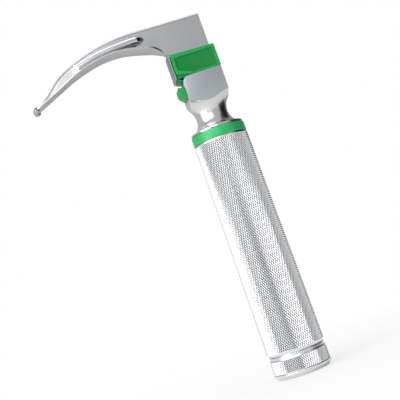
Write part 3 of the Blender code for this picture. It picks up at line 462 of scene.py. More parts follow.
# The knurl's colour holds painted light and shade. The crests are pure white, brighter than the plain
# plating, as a painted highlight. Below the crests the teeth are painted near black, as painted shade
# in the valleys.
crest_node = knurled.node_tree.nodes.new("ShaderNodeAttribute")
crest_node.attribute_name = "crest"
valley_painted_shade = knurled.node_tree.nodes.new("ShaderNodeMix")
valley_painted_shade.data_type = "RGBA"
valley_painted_shade.inputs["A"].default_value = (0.06, 0.06, 0.065, 1)
valley_shade_ramp = knurled.node_tree.nodes.new("ShaderNodeMapRange")
valley_shade_ramp.inputs["From Min"].default_value = 0.12
valley_shade_ramp.inputs["From Max"].default_value = 0.42
link(knurled.node_tree, crest_node.outputs["Fac"], valley_shade_ramp.inputs["Value"],
     valley_shade_ramp.outputs["Result"], valley_painted_shade.inputs["Factor"],
     knurled.node_tree.nodes["tint"].outputs["Result"], valley_painted_shade.inputs["B"],
     valley_painted_shade.outputs["Result"], knurled.node_tree.nodes["Principled BSDF"].inputs["Base Color"])

groove_radius = tube_radius - 0.75 * mm
grip_low, grip_high = tube_low.z + 1.5 * mm, tube_high.z - 0.7 * mm
sleeve = rounded([
    (tube_top_radius - 0.05 * mm, tube_high.z, 0.15 * mm),
    (tube_top_radius - 0.05 * mm, grip_high, 0.1 * mm),
    (tube_top_radius - tooth_height - 0.02 * mm, grip_high - 0.2 * mm),
    (tube_radius - tooth_height - 0.02 * mm, grip_low + 0.25 * mm),
    (tube_radius - 0.2 * mm, grip_low, 0.08 * mm),
    (groove_radius, grip_low - 0.3 * mm, 0.1 * mm),
    (groove_radius, tube_low.z, 0.12 * mm),
    (bore, tube_low.z), (bore, tube_high.z),
], steps=3)
show("grip_tube_sleeve", lathe(sleeve), plated, "handle", ["grip_tube"])
knurl = knurl_tree()
grip_knurl = grown(knurl, teeth_around=80, rows=107, bottom=grip_low, top=grip_high,
                   bottom_radius=tube_radius - tooth_height,
                   top_radius=tube_top_radius - tooth_height, tooth_height=tooth_height,
                   flat_share=0.22, material=knurled)
show("grip_knurl", grip_knurl, knurled, "handle", sharp=12.0)

# --- Base cap ---------------------------------------------------------------------------
# A turned cup that screws into the tube and presses the cells up. It is knurled like the
# grip, with a plain groove over it and a chamfered rim that the handle stands on.

cap_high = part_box("base_cap")[1]
cap_top = tube_low.z - 0.3 * mm
rim = cap_high.x - 0.02 * mm
cap_grip = (2.9 * mm, 10.1 * mm)
spigot = bore - 0.35 * mm
cup = spigot - 1.7 * mm
cap_profile = rounded([
    (spigot, cap_high.z, 0.3 * mm), (spigot, cap_top + 0.02 * mm), (groove_radius, cap_top, 0.2 * mm),
    (groove_radius, cap_grip[1] + 0.35 * mm, 0.1 * mm), (rim - 0.5 * mm, cap_grip[1] + 0.1 * mm),
    (rim - 0.5 * mm, cap_grip[0]), (rim, cap_grip[0] - 0.3 * mm, 0.15 * mm),
    (rim, 1.6 * mm, 0.3 * mm), (rim - 1.6 * mm, 0, 0.25 * mm), (0, 0),
], steps=4) + [(0, 3.0 * mm), (cup, 3.0 * mm), (cup, cap_high.z)]
show("base_cap_body", lathe(cap_profile), plated, "screw_cap", ["base_cap"])
cap_knurl = grown(knurl, teeth_around=80, rows=8, bottom=cap_grip[0] + 0.4 * mm,
                  top=cap_grip[1] - 0.4 * mm, bottom_radius=rim - 0.48 * mm,
                  top_radius=rim - 0.48 * mm, tooth_height=tooth_height, flat_share=0.22,
                  material=knurled)
show("base_cap_knurl", cap_knurl, knurled, "screw_cap", sharp=12.0)

# --- Coloured ring ----------------------------------------------------------------------
# The green ring marks a handle that takes fibre-lit blades. It is a separate anodised
# ring, trapped between the tube and the head's shoulder.

ring_low, ring_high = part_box("colour_ring")
ring_finish = finish("ring_green", (0.015, 0.47, 0.13), (0.01, 0.38, 0.1), (0.3, 0.42),
                     depth=0.002, metal=0.1, coat=0.1)
ring_profile = rounded([
    (ring_high.x, ring_high.z, 0.35 * mm), (ring_high.x, ring_low.z, 0.3 * mm),
    (bore, ring_low.z), (bore, ring_high.z),
], steps=5)
show("colour_ring_band", lathe(ring_profile), ring_finish, "handle", ["colour_ring"])

# --- Head -------------------------------------------------------------------------------
# The head is turned from bar, waisted and polished, then milled flat on both sides and
# slotted for the blade. Its side faces are left satin, with a bright chamfer round them, and
# are painted a darker grey as painted shade.


def arc(centre, semi, start, end, steps):
    """Points on an ellipse between two angles in degrees."""
    turns = [math.radians(start + (end - start) * k / steps) for k in range(steps + 1)]
    return [(centre[0] + semi[0] * math.cos(t), centre[1] + semi[1] * math.sin(t))
            for t in turns]


def plate(outline, low, high):
    """A flat piece of (x, z) outline between two places along Y."""
    form = bmesh.new()
    near = [form.verts.new((x, low, z)) for x, z in outline]
    far = [form.verts.new((x, high, z)) for x, z in outline]
    form.faces.new(near)
    form.faces.new(far)
    for k in range(len(outline)):
        j = (k + 1) % len(outline)
        form.faces.new((near[k], near[j], far[j], far[k]))
    bmesh.ops.recalc_face_normals(form, faces=form.faces)
    return form


def solid(form, matrix=None):
    """A working object from a bmesh, for cutting with and being cut."""
    mesh = bpy.data.meshes.new("solid")
    form.to_mesh(mesh)
    form.free()
    if matrix is not None:
        mesh.transform(matrix)
    thing = bpy.data.objects.new("solid", mesh)
    studio.collection.objects.link(thing)
    return thing


def carve(body, tools, bevel=0.0, segments=2, angle=35.0):
    """The mesh left by cutting and joining (operation, object) tools, edges then broken."""
    for operation, tool in tools:
        step = body.modifiers.new("step", "BOOLEAN")
        step.operation, step.solver, step.object = operation, "EXACT", tool
    if bevel:
        weld = body.modifiers.new("weld", "WELD")
        weld.merge_threshold = 0.004 * mm
        edge = body.modifiers.new("edge", "BEVEL")
        edge.width, edge.segments = bevel, segments
        edge.limit_method, edge.angle_limit = "ANGLE", math.radians(angle)
    bpy.context.view_layer.update()
    graph = bpy.context.evaluated_depsgraph_get()
    result = bpy.data.meshes.new_from_object(body.evaluated_get(graph))
    for thing in [body] + [tool for _, tool in tools]:
        bpy.data.objects.remove(thing)
    return result


head_low, head_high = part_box("head_fitting")
head_base = ring_high.z + 0.3 * mm
head_top, head_corner = head_high.z, 3.2 * mm
head_front, head_rear, head_half = -9.8 * mm, 11.2 * mm, 11.0 * mm
slot_half = 6.45 * mm
hook_radius, lamp_gap = 7.2 * mm, 0.5 * mm
slot_floor = pivot.z - hook_radius - lamp_gap
waist_z = head_base + 7.85 * mm
shoulder = ring_high.x - 0.4 * mm
lamp_hole = 4.5 * mm

flare = arc((17 * mm, waist_z), (8.6 * mm, 9.5 * mm), 90, 180, 40)
waist = arc((shoulder - 0.35 * mm, waist_z), (shoulder - 8.75 * mm, 6.75 * mm), 180, 270, 28)
head_profile = [(17 * mm, head_top + 1 * mm)] + flare + waist[1:] + [
    (shoulder - 0.1 * mm, head_base + 1.05 * mm), (shoulder, head_base + 0.9 * mm),
    (shoulder, head_base + 0.15 * mm), (shoulder - 0.15 * mm, head_base),
    (spigot, head_base), (spigot, head_low.z), (spigot - 2 * mm, head_low.z),
    (spigot - 2 * mm, head_base - 2.8 * mm), (5.6 * mm, head_base - 2.8 * mm),
    (5.6 * mm, head_base + 2.15 * mm), (lamp_hole, head_base + 2.15 * mm),
    (lamp_hole, head_top + 1 * mm),
]
head_outline = rounded([
    (head_front, waist_z), (head_front, head_top, head_corner), (head_rear, head_top, 0.4 * mm),
    (head_rear, waist_z),
], steps=10)
block_out = [(-30 * mm, waist_z + 1 * mm), (-30 * mm, head_top + 5 * mm),
             (30 * mm, head_top + 5 * mm), (30 * mm, waist_z + 1 * mm)]
waste = solid(plate(block_out, -30 * mm, 30 * mm))
keep = solid(plate(head_outline, -head_half, head_half))
waste_mesh = carve(waste, [("DIFFERENCE", keep)])
waste = bpy.data.objects.new("waste", waste_mesh)
studio.collection.objects.link(waste)
slot_out = [(-30 * mm, slot_floor), (-30 * mm, head_top + 5 * mm), (30 * mm, head_top + 5 * mm),
            (30 * mm, slot_floor)]
lay_flat = Matrix.Rotation(-math.pi / 2, 4, "X")
pin_hole = solid(lathe([(1.7 * mm, 30 * mm), (1.7 * mm, -9.5 * mm), (0, -9.5 * mm), (0, 30 * mm)],
                       steps=48), Matrix.Translation(pivot) @ lay_flat)
head_tools = [("DIFFERENCE", waste), ("DIFFERENCE", solid(plate(slot_out, -slot_half, slot_half))),
              ("DIFFERENCE", pin_hole)]
polished = finish("polished_head", (0.74, 0.73, 0.73), (0.66, 0.65, 0.65), (0.22, 0.28),
                  depth=0.0006)


def satin_and_shaded_sides(material, low, roughness, shade):
    """Make the faces that look along Y, above a height, satin where the rest is polished, and paint
    them darker as painted shade.
    """
    tree = material.node_tree
    space = tree.nodes.new("ShaderNodeTexCoord")
    facing = tree.nodes.new("ShaderNodeSeparateXYZ")
    where = tree.nodes.new("ShaderNodeSeparateXYZ")
    link(tree, space.outputs["Normal"], facing.inputs[0], space.outputs["Object"], where.inputs[0])
    flat = sums(tree, "GREATER_THAN", sums(tree, "ABSOLUTE", facing.outputs[1]), 0.985)
    side = sums(tree, "MULTIPLY", flat, sums(tree, "GREATER_THAN", where.outputs[2], low))
    rough = tree.nodes.new("ShaderNodeMix")
    rough.inputs["B"].default_value = roughness
    painted_tone = tree.nodes.new("ShaderNodeMix")
    painted_tone.data_type = "RGBA"
    painted_tone.inputs["B"].default_value = (*shade, 1)
    shader = tree.nodes["Principled BSDF"]
    link(tree, side, rough.inputs["Factor"], tree.nodes["gloss"].outputs["Result"],
         rough.inputs["A"], rough.outputs["Result"], shader.inputs["Roughness"],
         side, painted_tone.inputs["Factor"], tree.nodes["tint"].outputs["Result"], painted_tone.inputs["A"],
         painted_tone.outputs["Result"], shader.inputs["Base Color"])


# The side faces get a satin roughness, which is the milled finish, and a darker grey colour, which is
# painted shade.
satin_and_shaded_sides(polished, slot_floor - 8 * mm, 0.42, (0.45, 0.475, 0.49))
head_mesh = carve(solid(lathe(head_profile, steps=192)), head_tools, bevel=0.55 * mm, segments=3,
                  angle=24.0)
show("head_body", head_mesh, polished, "handle", ["head_fitting"])

# --- Hook pin ---------------------------------------------------------------------------
# A ground steel pin across the slot, pressed in through the far cheek and blind in the near
# one. The blade's hook turns on it, so it is the hinge that the blade folds about.

pin_finish = finish("ground_steel", (0.75, 0.75, 0.77), (0.6, 0.6, 0.62), (0.12, 0.24),
                    grain=(300, 6000, 300), depth=0.001)
pin_low, pin_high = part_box("hook_pin")
pin_radius = 1.6 * mm
pin_profile = rounded([(pin_radius, pin_high.y, 0.3 * mm), (pin_radius, pin_low.y), (0, pin_low.y)],
                      steps=4)[:-1] + [(0, pin_low.y), (0, pin_high.y)]
pin_form = lathe(pin_profile, steps=64)
pin_form.transform(Matrix.Translation(pivot) @ lay_flat)
show("hook_pin_bar", pin_form, pin_finish, "handle", ["hook_pin"])

# --- Inner parts ------------------------------------------------------------------------
# Cells, contacts, clip and seals are hidden in the handle. Their shapes are the frame's
# own, and each gets the finish of its real material.

brass = finish("contact_brass", (0.83, 0.6, 0.24), (0.66, 0.45, 0.18), (0.18, 0.34), depth=0.003)
wire = finish("spring_wire", (0.62, 0.62, 0.64), (0.5, 0.5, 0.52), (0.22, 0.34), depth=0.002)
rubber = finish("seal_rubber", (0.025, 0.025, 0.025), (0.05, 0.05, 0.05), (0.55, 0.75), metal=0.0)
ivory = finish("ivory_plastic", (0.78, 0.73, 0.62), (0.7, 0.64, 0.52), (0.4, 0.55), metal=0.0)
jacket = finish("cell_jacket", (0.03, 0.05, 0.1), (0.05, 0.07, 0.12), (0.25, 0.4), metal=0.0,
                coat=0.3)
for node_name, inner in (
    ("head_seal", rubber), ("cap_seal", rubber), ("contact_carrier", ivory),
    ("carrier_clip", wire), ("battery_contact", brass), ("lower_cell", jacket),
    ("upper_cell", jacket), ("cap_contact", brass), ("lamp_contact", brass),
    ("lamp_base", pin_finish), ("heel_pin_front", pin_finish), ("heel_pin_rear", pin_finish),
):
    frame["nodes"][node_name].data.materials.clear()
    frame["nodes"][node_name].data.materials.append(inner)

# --- Coil springs -----------------------------------------------------------------------
# Hard-drawn steel wire, wound on a mandrel. One lifts the lamp; the tapered one in the cap
# presses the cells up. Their last coils lie flat on what they push.


def coil_tree():
    """Geometry Nodes: round wire wound up Z between two heights, with closed end coils."""
    tree = bpy.data.node_groups.new("wound_coil", "GeometryNodeTree")
    tree.interface.new_socket("Geometry", in_out="OUTPUT", socket_type="NodeSocketGeometry")
    for name in ("Turns", "Bottom", "Top", "Bottom Radius", "Top Radius", "Wire Radius"):
        socket(tree, name, "Float")
    socket(tree, "Steps", "Int", 200)
    socket(tree, "Material", "Material")
    new = tree.nodes.new
    entry, leave = new("NodeGroupInput").outputs, new("NodeGroupOutput")
    line = new("GeometryNodeCurvePrimitiveLine")
    resample = new("GeometryNodeResampleCurve")
    tree.links.new(line.outputs[0], resample.inputs["Curve"])
    tree.links.new(entry["Steps"], resample.inputs["Count"])
    share = new("GeometryNodeSplineParameter").outputs["Factor"]
    angle = sums(tree, "MULTIPLY", share, sums(tree, "MULTIPLY", entry["Turns"], math.tau))
    radius = sums(tree, "ADD", entry["Bottom Radius"], sums(
        tree, "MULTIPLY", share, sums(tree, "SUBTRACT", entry["Top Radius"],
                                      entry["Bottom Radius"])))
    rise = new("ShaderNodeMapRange")
    rise.interpolation_type = "SMOOTHSTEP"
    tree.links.new(share, rise.inputs["Value"])
    low = sums(tree, "ADD", entry["Bottom"], entry["Wire Radius"])
    high = sums(tree, "SUBTRACT", entry["Top"], entry["Wire Radius"])
    tall = sums(tree, "MULTIPLY", rise.outputs["Result"], sums(tree, "SUBTRACT", high, low))
    place = new("ShaderNodeCombineXYZ")
    tree.links.new(sums(tree, "MULTIPLY", radius, sums(tree, "COSINE", angle)), place.inputs[0])
    tree.links.new(sums(tree, "MULTIPLY", radius, sums(tree, "SINE", angle)), place.inputs[1])
    tree.links.new(sums(tree, "ADD", low, tall), place.inputs[2])
    bend = new("GeometryNodeSetPosition")
    tree.links.new(resample.outputs[0], bend.inputs["Geometry"])
    tree.links.new(place.outputs[0], bend.inputs["Position"])
    ring = new("GeometryNodeCurvePrimitiveCircle")
    ring.inputs["Resolution"].default_value = 10
    tree.links.new(entry["Wire Radius"], ring.inputs["Radius"])
    wound = new("GeometryNodeCurveToMesh")
    wound.inputs["Fill Caps"].default_value = True
    tree.links.new(bend.outputs[0], wound.inputs["Curve"])
    tree.links.new(ring.outputs[0], wound.inputs["Profile Curve"])
    real = new("GeometryNodeRealizeInstances")
    weld = new("GeometryNodeMergeByDistance")
    weld.inputs["Distance"].default_value = 0.000005
    paint = new("GeometryNodeSetMaterial")
    tree.links.new(wound.outputs[0], real.inputs[0])
    tree.links.new(real.outputs[0], weld.inputs["Geometry"])
    tree.links.new(weld.outputs[0], paint.inputs["Geometry"])
    tree.links.new(entry["Material"], paint.inputs["Material"])
    tree.links.new(paint.outputs[0], leave.inputs[0])
    return tree


coil = coil_tree()
for spring_name, wire_radius, turns, bodies in (
    ("lamp_spring", 0.35 * mm, 4.5, ("handle", "lamp")),
    ("cap_spring", 0.5 * mm, 5.0, ("cap_carrier", "handle")),
):
    low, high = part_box(spring_name)
    bottom_radius = high.x - wire_radius
    top_radius = bottom_radius if spring_name == "lamp_spring" else 4.0 * mm
    wound = grown(coil, turns=turns, bottom=low.z, top=high.z, bottom_radius=bottom_radius,
                  top_radius=top_radius, wire_radius=wire_radius, steps=300, material=wire)
    spring = show(spring_name + "_coil", wound, wire, None, [spring_name],
                  sharp=50.0)
    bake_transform(spring)

# --- Lamp cartridge ---------------------------------------------------------------------
# A plated brass barrel with a spring flange. The glass bulb sits in it with its lens just
# under the top, where the blade's light guide lands.

sleeve_low, sleeve_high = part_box("lamp_sleeve")
flange_top = sleeve_low.z + 1.5 * mm
barrel = rounded([
    (4.2 * mm, sleeve_high.z, 0.3 * mm), (4.2 * mm, flange_top, 0.15 * mm),
    (5.3 * mm, flange_top, 0.2 * mm), (5.3 * mm, sleeve_low.z, 0.2 * mm),
    (2.0 * mm, sleeve_low.z), (2.0 * mm, sleeve_low.z + 4.5 * mm),
    (3.3 * mm, sleeve_low.z + 4.5 * mm), (3.3 * mm, sleeve_high.z - 1.2 * mm, 0.2 * mm),
    (2.7 * mm, sleeve_high.z),
])
show("lamp_sleeve_barrel", lathe(barrel, steps=96), brass, "lamp",
     ["lamp_sleeve"])
glass = finish("bulb_glass", (0.98, 0.97, 0.92), (0.95, 0.93, 0.86), (0.02, 0.06), depth=0.0003,
               metal=0.0)
glass.node_tree.nodes["Principled BSDF"].inputs["Transmission Weight"].default_value = 0.75
bulb_low, bulb_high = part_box("lamp_bulb")
bulb_profile = [(0, bulb_high.z)] + arc((0, bulb_high.z - bulb_high.x), (bulb_high.x, bulb_high.x),
                                        88, 0, 16)
bulb_profile += rounded([(bulb_high.x, bulb_low.z, 0.3 * mm), (0, bulb_low.z),
                         (0, bulb_low.z + 1 * mm), (bulb_high.x, bulb_low.z + 1 * mm)])[:-2]
show("lamp_bulb_glass", lathe(bulb_profile, steps=64), glass, "lamp", ["lamp_bulb"])

# --- Blade ------------------------------------------------------------------------------
# One pressed stainless sheet: a flat spatula, a web with a rolled flange on top, and a tang
# in the heel. It is brushed along its length and has a rounded bead at the tip.

top_line = ((-0.34, 36.3), (0.01, 36.7), (0.25, 36.8), (0.445, 34.9), (0.63, 30.7), (0.77, 25.6),
            (0.895, 17.8), (1.0, 12.3))
under_line = ((0.0, 18.7), (0.095, 21.6), (0.29, 24.5), (0.46, 24.0), (0.655, 20.2),
              (0.825, 15.0), (1.0, 9.8))
blade_start, blade_reach, sheet = -13.2 * mm, 71.4 * mm, 1.2 * mm


def height_at(points, share):
    """Height of the smooth curve through (share, millimetres) points."""
    share = min(max(share, points[0][0]), points[-1][0])
    i = max(k for k in range(len(points) - 1) if points[k][0] <= share)
    (a, low), (b, high) = points[i], points[i + 1]

    def slope(k):
        j, m = max(k - 1, 0), min(k + 1, len(points) - 1)
        return (points[m][1] - points[j][1]) / (points[m][0] - points[j][0])

    t, span = (share - a) / (b - a), b - a
    return mm * ((2 * t**3 - 3 * t**2 + 1) * low + (t**3 - 2 * t**2 + t) * span * slope(i)
                 + (3 * t**2 - 2 * t**3) * high + (t**3 - t**2) * span * slope(i + 1))


def ease(share, start, end):
    """0 before start, 1 after end, smooth between."""
    t = min(max((share - start) / (end - start), 0.0), 1.0)
    return t * t * (3 - 2 * t)


def spatula_width(share):
    """Rounded in at the heel end, full width along the blade, narrower at the tip."""
    swell = min(share / 0.11, 1.0)
    width = 2.2 * mm + 11.8 * mm * math.sqrt(1 - (1 - swell) ** 2)
    return width - 3.5 * mm * ease(share, 0.6, 0.98) - 1.2 * mm * ease(share, 0.96, 1.0)


def blade_loop(under, top, width, fillet, flange, edge):
    """The blade cut across, as (y, height) points with its bends rounded."""
    half, room = sheet / 2, top - under - sheet
    outer = min(2.1 * mm, 0.45 * room)
    inner, lip = max(outer - sheet, 0.05 * mm), min(sheet, 0.5 * room)
    end, droop = half + inner + flange, 0.12 * flange
    edge_lip = min(0.35 * mm, 0.42 * lip)
    return rounded([
        (-width, under, edge), (-width, under + sheet, edge), (-half, under + sheet, fillet),
        (-half, top, outer), (end, top - droop, edge_lip), (end, top - lip - droop, edge_lip),
        (half, top - lip, inner), (half, under, fillet + sheet * min(1.0, edge / (0.3 * mm))),
    ], steps=6)


def blade_form():
    """The sheet lofted from the rear of the web to the tip."""
    stations = []
    front, rear, tiny = -10.6 * mm, 10.6 * mm, 0.02 * mm
    for x in [11.1 * mm, rear + tiny, rear, 4 * mm, 0, -5 * mm, front, front - tiny,
              blade_start + tiny]:
        under = 7.8 * mm if front <= x <= rear else (16.2 * mm if x > rear else 18.7 * mm)
        top = height_at(top_line, (blade_start - x) / blade_reach)
        stations.append((x, blade_loop(under, top, 0.7 * mm, 0.05 * mm, 5.5 * mm, 0.03 * mm)))
    shares = [0.004 * k * k / 10 for k in range(1, 17)]
    shares = [0.0] + shares + [shares[-1] + (1 - shares[-1]) * k / 110 for k in range(1, 111)]
    for share in shares:
        under, top = height_at(under_line, share), height_at(top_line, share)
        fillet = min((0.8 + 1.8 * ease(share, 0.1, 0.4)) * mm, 0.4 * (top - under - sheet))
        flange = 5.5 * mm * (1 - 0.97 * ease(share, 0.55, 0.93))
        stations.append((blade_start - blade_reach * share, blade_loop(
            under, top, spatula_width(share), fillet, flange, 0.3 * mm)))
    form = bmesh.new()
    rows = [[form.verts.new((x, y, pivot.z + z)) for y, z in loop] for x, loop in stations]
    for row, after in zip(rows, rows[1:]):
        for k in range(len(row)):
            j = (k + 1) % len(row)
            form.faces.new((row[k], row[j], after[j], after[k]))
    form.faces.new(list(reversed(rows[0])))
    form.faces.new(rows[-1])
    bmesh.ops.recalc_face_normals(form, faces=form.faces)
    return form


def swept(points, radius, smooth=0, resolution=3):
    """A round rod along a route: straight between its points, or smooth through them."""
    curve = bpy.data.curves.new("route", "CURVE")
    curve.dimensions = "3D"
    curve.bevel_depth, curve.bevel_resolution, curve.use_fill_caps = radius, resolution, True
    curve.resolution_u = max(smooth, 1)
    spline = curve.splines.new("BEZIER")
    spline.bezier_points.add(len(points) - 1)
    for point, place in zip(spline.bezier_points, points):
        point.co = place
        point.handle_left_type = point.handle_right_type = "AUTO" if smooth else "VECTOR"
    holder = bpy.data.objects.new("route", curve)
    studio.collection.objects.link(holder)
    bpy.context.view_layer.update()
    mesh = bpy.data.meshes.new_from_object(
        holder.evaluated_get(bpy.context.evaluated_depsgraph_get()))
    bpy.data.objects.remove(holder)
    form = bmesh.new()
    form.from_mesh(mesh)
    bmesh.ops.remove_doubles(form, verts=form.verts, dist=0.002 * mm)
    bmesh.ops.recalc_face_normals(form, faces=form.faces)
    return form


guide_route = [Vector((x * mm, y * mm, pivot.z + z * mm)) for x, y, z in (
    (0, 0, -5.7), (0, 0, -2), (0, 0.5, 2), (0, 2.8, 7), (0, 3, 14), (-1, 3, 21.5),
    (-6.5, 3, 27.8), (-14, 3, 30.4), (-20, 2.25, 30.9), (-25, -2.25, 30.8), (-31, -3, 30.4),
    (-45, -3, 29.1), (-57.5, -3, 26.2))]
tip_x, tip_z = blade_start - blade_reach, pivot.z + height_at(under_line, 1.0) + sheet / 2
tip_width = spatula_width(1.0)
bead_route = [Vector(place) for place in (
    (tip_x + 1.2 * mm, 0.6 * mm, tip_z + 0.5 * mm), (tip_x + 0.3 * mm, -0.6 * mm, tip_z),
    (tip_x, -0.25 * tip_width, tip_z), (tip_x, -0.75 * tip_width, tip_z),
    (tip_x + 0.3 * mm, 0.6 * mm - tip_width, tip_z),
    (tip_x + 1.2 * mm, -tip_width - 0.3 * mm, tip_z + 0.5 * mm))]
brushed = finish("brushed_blade", (0.5, 0.505, 0.51), (0.43, 0.435, 0.44), (0.28, 0.4),
                 grain=(250, 5000, 5000), depth=0.0015, marks=60.0)
blade_mesh = carve(solid(blade_form()), [
    ("UNION", solid(swept(bead_route, 1.25 * mm, smooth=6, resolution=5))),
    ("DIFFERENCE", solid(swept(guide_route, 2.04 * mm, smooth=6, resolution=5)))])
show("blade_sheet", blade_mesh, brushed, "blade", ["blade_steel"], sharp=40.0)

# --- Heel -------------------------------------------------------------------------------
# The heel is moulded green plastic: a block with a sunk panel on each side, a collar, and a
# tongue whose hook catches the handle's pin. It holds the tang, light guide and balls.

heel_finish = finish("heel_green", (0.012, 0.33, 0.09), (0.01, 0.28, 0.07), (0.36, 0.5),
                     depth=0.004, metal=0.0, marks=140.0)
heel_tree = heel_finish.node_tree
heel_tree.nodes["Principled BSDF"].inputs["Specular IOR Level"].default_value = 0.22


def shaded_sunk_panels(tree, depth, shade):
    """Paint the sunk side panels, which lie nearer the middle than a depth, darker as painted shade
    in the recesses.
    """
    space = tree.nodes.new("ShaderNodeTexCoord")
    facing, where = tree.nodes.new("ShaderNodeSeparateXYZ"), tree.nodes.new("ShaderNodeSeparateXYZ")
    link(tree, space.outputs["Normal"], facing.inputs[0], space.outputs["Object"], where.inputs[0])
    side = sums(tree, "GREATER_THAN", sums(tree, "ABSOLUTE", facing.outputs[1]), 0.9)
    sunk = sums(tree, "LESS_THAN", sums(tree, "ABSOLUTE", where.outputs[1]), depth)
    high = sums(tree, "GREATER_THAN", where.outputs[2], pivot.z + 3.7 * mm)
    painted_tone = tree.nodes.new("ShaderNodeMix")
    painted_tone.data_type = "RGBA"
    painted_tone.inputs["B"].default_value = (*shade, 1)
    link(tree, sums(tree, "MULTIPLY", high, sums(tree, "MULTIPLY", side, sunk)),
         painted_tone.inputs["Factor"], tree.nodes["tint"].outputs["Result"], painted_tone.inputs["A"],
         painted_tone.outputs["Result"], tree.nodes["Principled BSDF"].inputs["Base Color"])


# The sunk panels are painted a darker green as painted shade in the recesses; it is not a colour of
# the plastic.
shaded_sunk_panels(heel_tree, 7.5 * mm, (0.004, 0.2, 0.035))
heel_front, heel_rear, tongue_rear = -11.4 * mm, 12.1 * mm, 10.8 * mm
block_half, tongue_half, mouth_half = 8.0 * mm, 6.15 * mm, 1.8 * mm


def block_side(inset, extra_top, radius):
    """The block's outline from the side, moved in by an inset."""
    front, rear, knee = heel_front + inset, heel_rear - inset, -2.5 * mm
    low, low_rear = pivot.z + 6.4 * mm + inset, pivot.z + 3.65 * mm + inset
    return rounded([
        (front, low, radius), (front, pivot.z + 16.8 * mm - inset - extra_top, radius),
        (rear, pivot.z + 15.9 * mm - inset, radius), (rear, low_rear, radius), (knee, low_rear),
    ])


nose = math.degrees(math.acos((-12.8 * mm - pivot.x) / hook_radius))
tongue_side = [(heel_front, pivot.z + 7.4 * mm), (heel_front, pivot.z + 1 * mm),
               (-12.8 * mm, pivot.z + 1 * mm)]
tongue_side += arc((pivot.x, pivot.z), (hook_radius, hook_radius), 360 - nose, 270, 28)
tongue_side += [(tongue_rear - 2 * mm, pivot.z - hook_radius),
                (tongue_rear, pivot.z - hook_radius + 2 * mm), (tongue_rear, pivot.z + 7.4 * mm)]
collar_side = [(heel_front + 0.1 * mm, pivot.z + 3.75 * mm),
               (heel_front + 0.1 * mm, pivot.z + 7.9 * mm), (-4 * mm, pivot.z + 7.9 * mm),
               (-4 * mm, pivot.z + 3.75 * mm)]
mouth_side = [(-14.4 * mm, mouth_half)] + arc((0, 0), (mouth_half, mouth_half), 90, -90, 16)
mouth_side.append((-14.4 * mm, -mouth_half))
mouth_turn = math.radians(-14)
mouth_side = [(pivot.x + x * math.cos(mouth_turn) - z * math.sin(mouth_turn),
               pivot.z + x * math.sin(mouth_turn) + z * math.cos(mouth_turn))
              for x, z in mouth_side]
panel_side = block_side(1.5 * mm, 0.8 * mm, 0.5 * mm)
heel_mesh = carve(solid(plate(block_side(0, 0, 0.8 * mm), -block_half, block_half)), [
    ("DIFFERENCE", solid(plate(panel_side, -block_half - 2 * mm, 0.7 * mm - block_half))),
    ("DIFFERENCE", solid(plate(panel_side, block_half - 0.7 * mm, block_half + 2 * mm))),
    ("UNION", solid(plate(collar_side, -tongue_half - 1.05 * mm, tongue_half + 1.05 * mm))),
    ("UNION", solid(plate(tongue_side, -tongue_half, tongue_half))),
    ("DIFFERENCE", solid(plate(mouth_side, -12 * mm, 12 * mm))),
], bevel=0.28 * mm, segments=3, angle=30.0)
heel_body = bpy.data.objects.new("heel", heel_mesh)
studio.collection.objects.link(heel_body)
tang_side = [(-11.1 * mm, pivot.z + 7.5 * mm), (-11.1 * mm, pivot.z + 18.8 * mm),
             (10.9 * mm, pivot.z + 18.8 * mm), (10.9 * mm, pivot.z + 7.5 * mm)]
ferrule_hole = [(0, pivot.z - 3.7 * mm), (3.1 * mm, pivot.z - 3.7 * mm),
                (3.1 * mm, pivot.z - 8.2 * mm), (0, pivot.z - 8.2 * mm)]
tab_side = [(-12.35 * mm, pivot.z + 4.7 * mm), (-12.35 * mm, pivot.z + 6 * mm),
            (-7.9 * mm, pivot.z + 6 * mm), (-7.9 * mm, pivot.z + 4.7 * mm)]
heel_cuts = [("DIFFERENCE", solid(plate(tang_side, -0.9 * mm, 0.9 * mm))),
             ("DIFFERENCE", solid(swept(guide_route, 2.3 * mm, smooth=6, resolution=5))),
             ("DIFFERENCE", solid(lathe(ferrule_hole, steps=48))),
             ("DIFFERENCE", solid(plate(tab_side, -3.99 * mm, 3.99 * mm)))]
ball_place = Vector((6.0 * mm, 0, pivot.z - 2 * mm))
for side in (-1, 1):
    pocket = [(0, 7.2 * mm), (1.44 * mm, 7.2 * mm), (1.44 * mm, 5.95 * mm),
              (1.6 * mm, 5.95 * mm), (1.6 * mm, 1.65 * mm), (0, 1.65 * mm)]
    lay = Matrix.Translation(ball_place) @ Matrix.Rotation(-side * math.pi / 2, 4, "X")
    heel_cuts.append(("DIFFERENCE", solid(lathe(pocket, steps=48), lay)))
show("heel_moulding", carve(heel_body, heel_cuts), heel_finish, "blade",
     ["heel_block"], sharp=34.0)

# --- Front strip ------------------------------------------------------------------------
# A thin stainless strip down the heel's front, cut from sheet with its edges broken. Its own
# tab reaches into the moulding and holds it there.

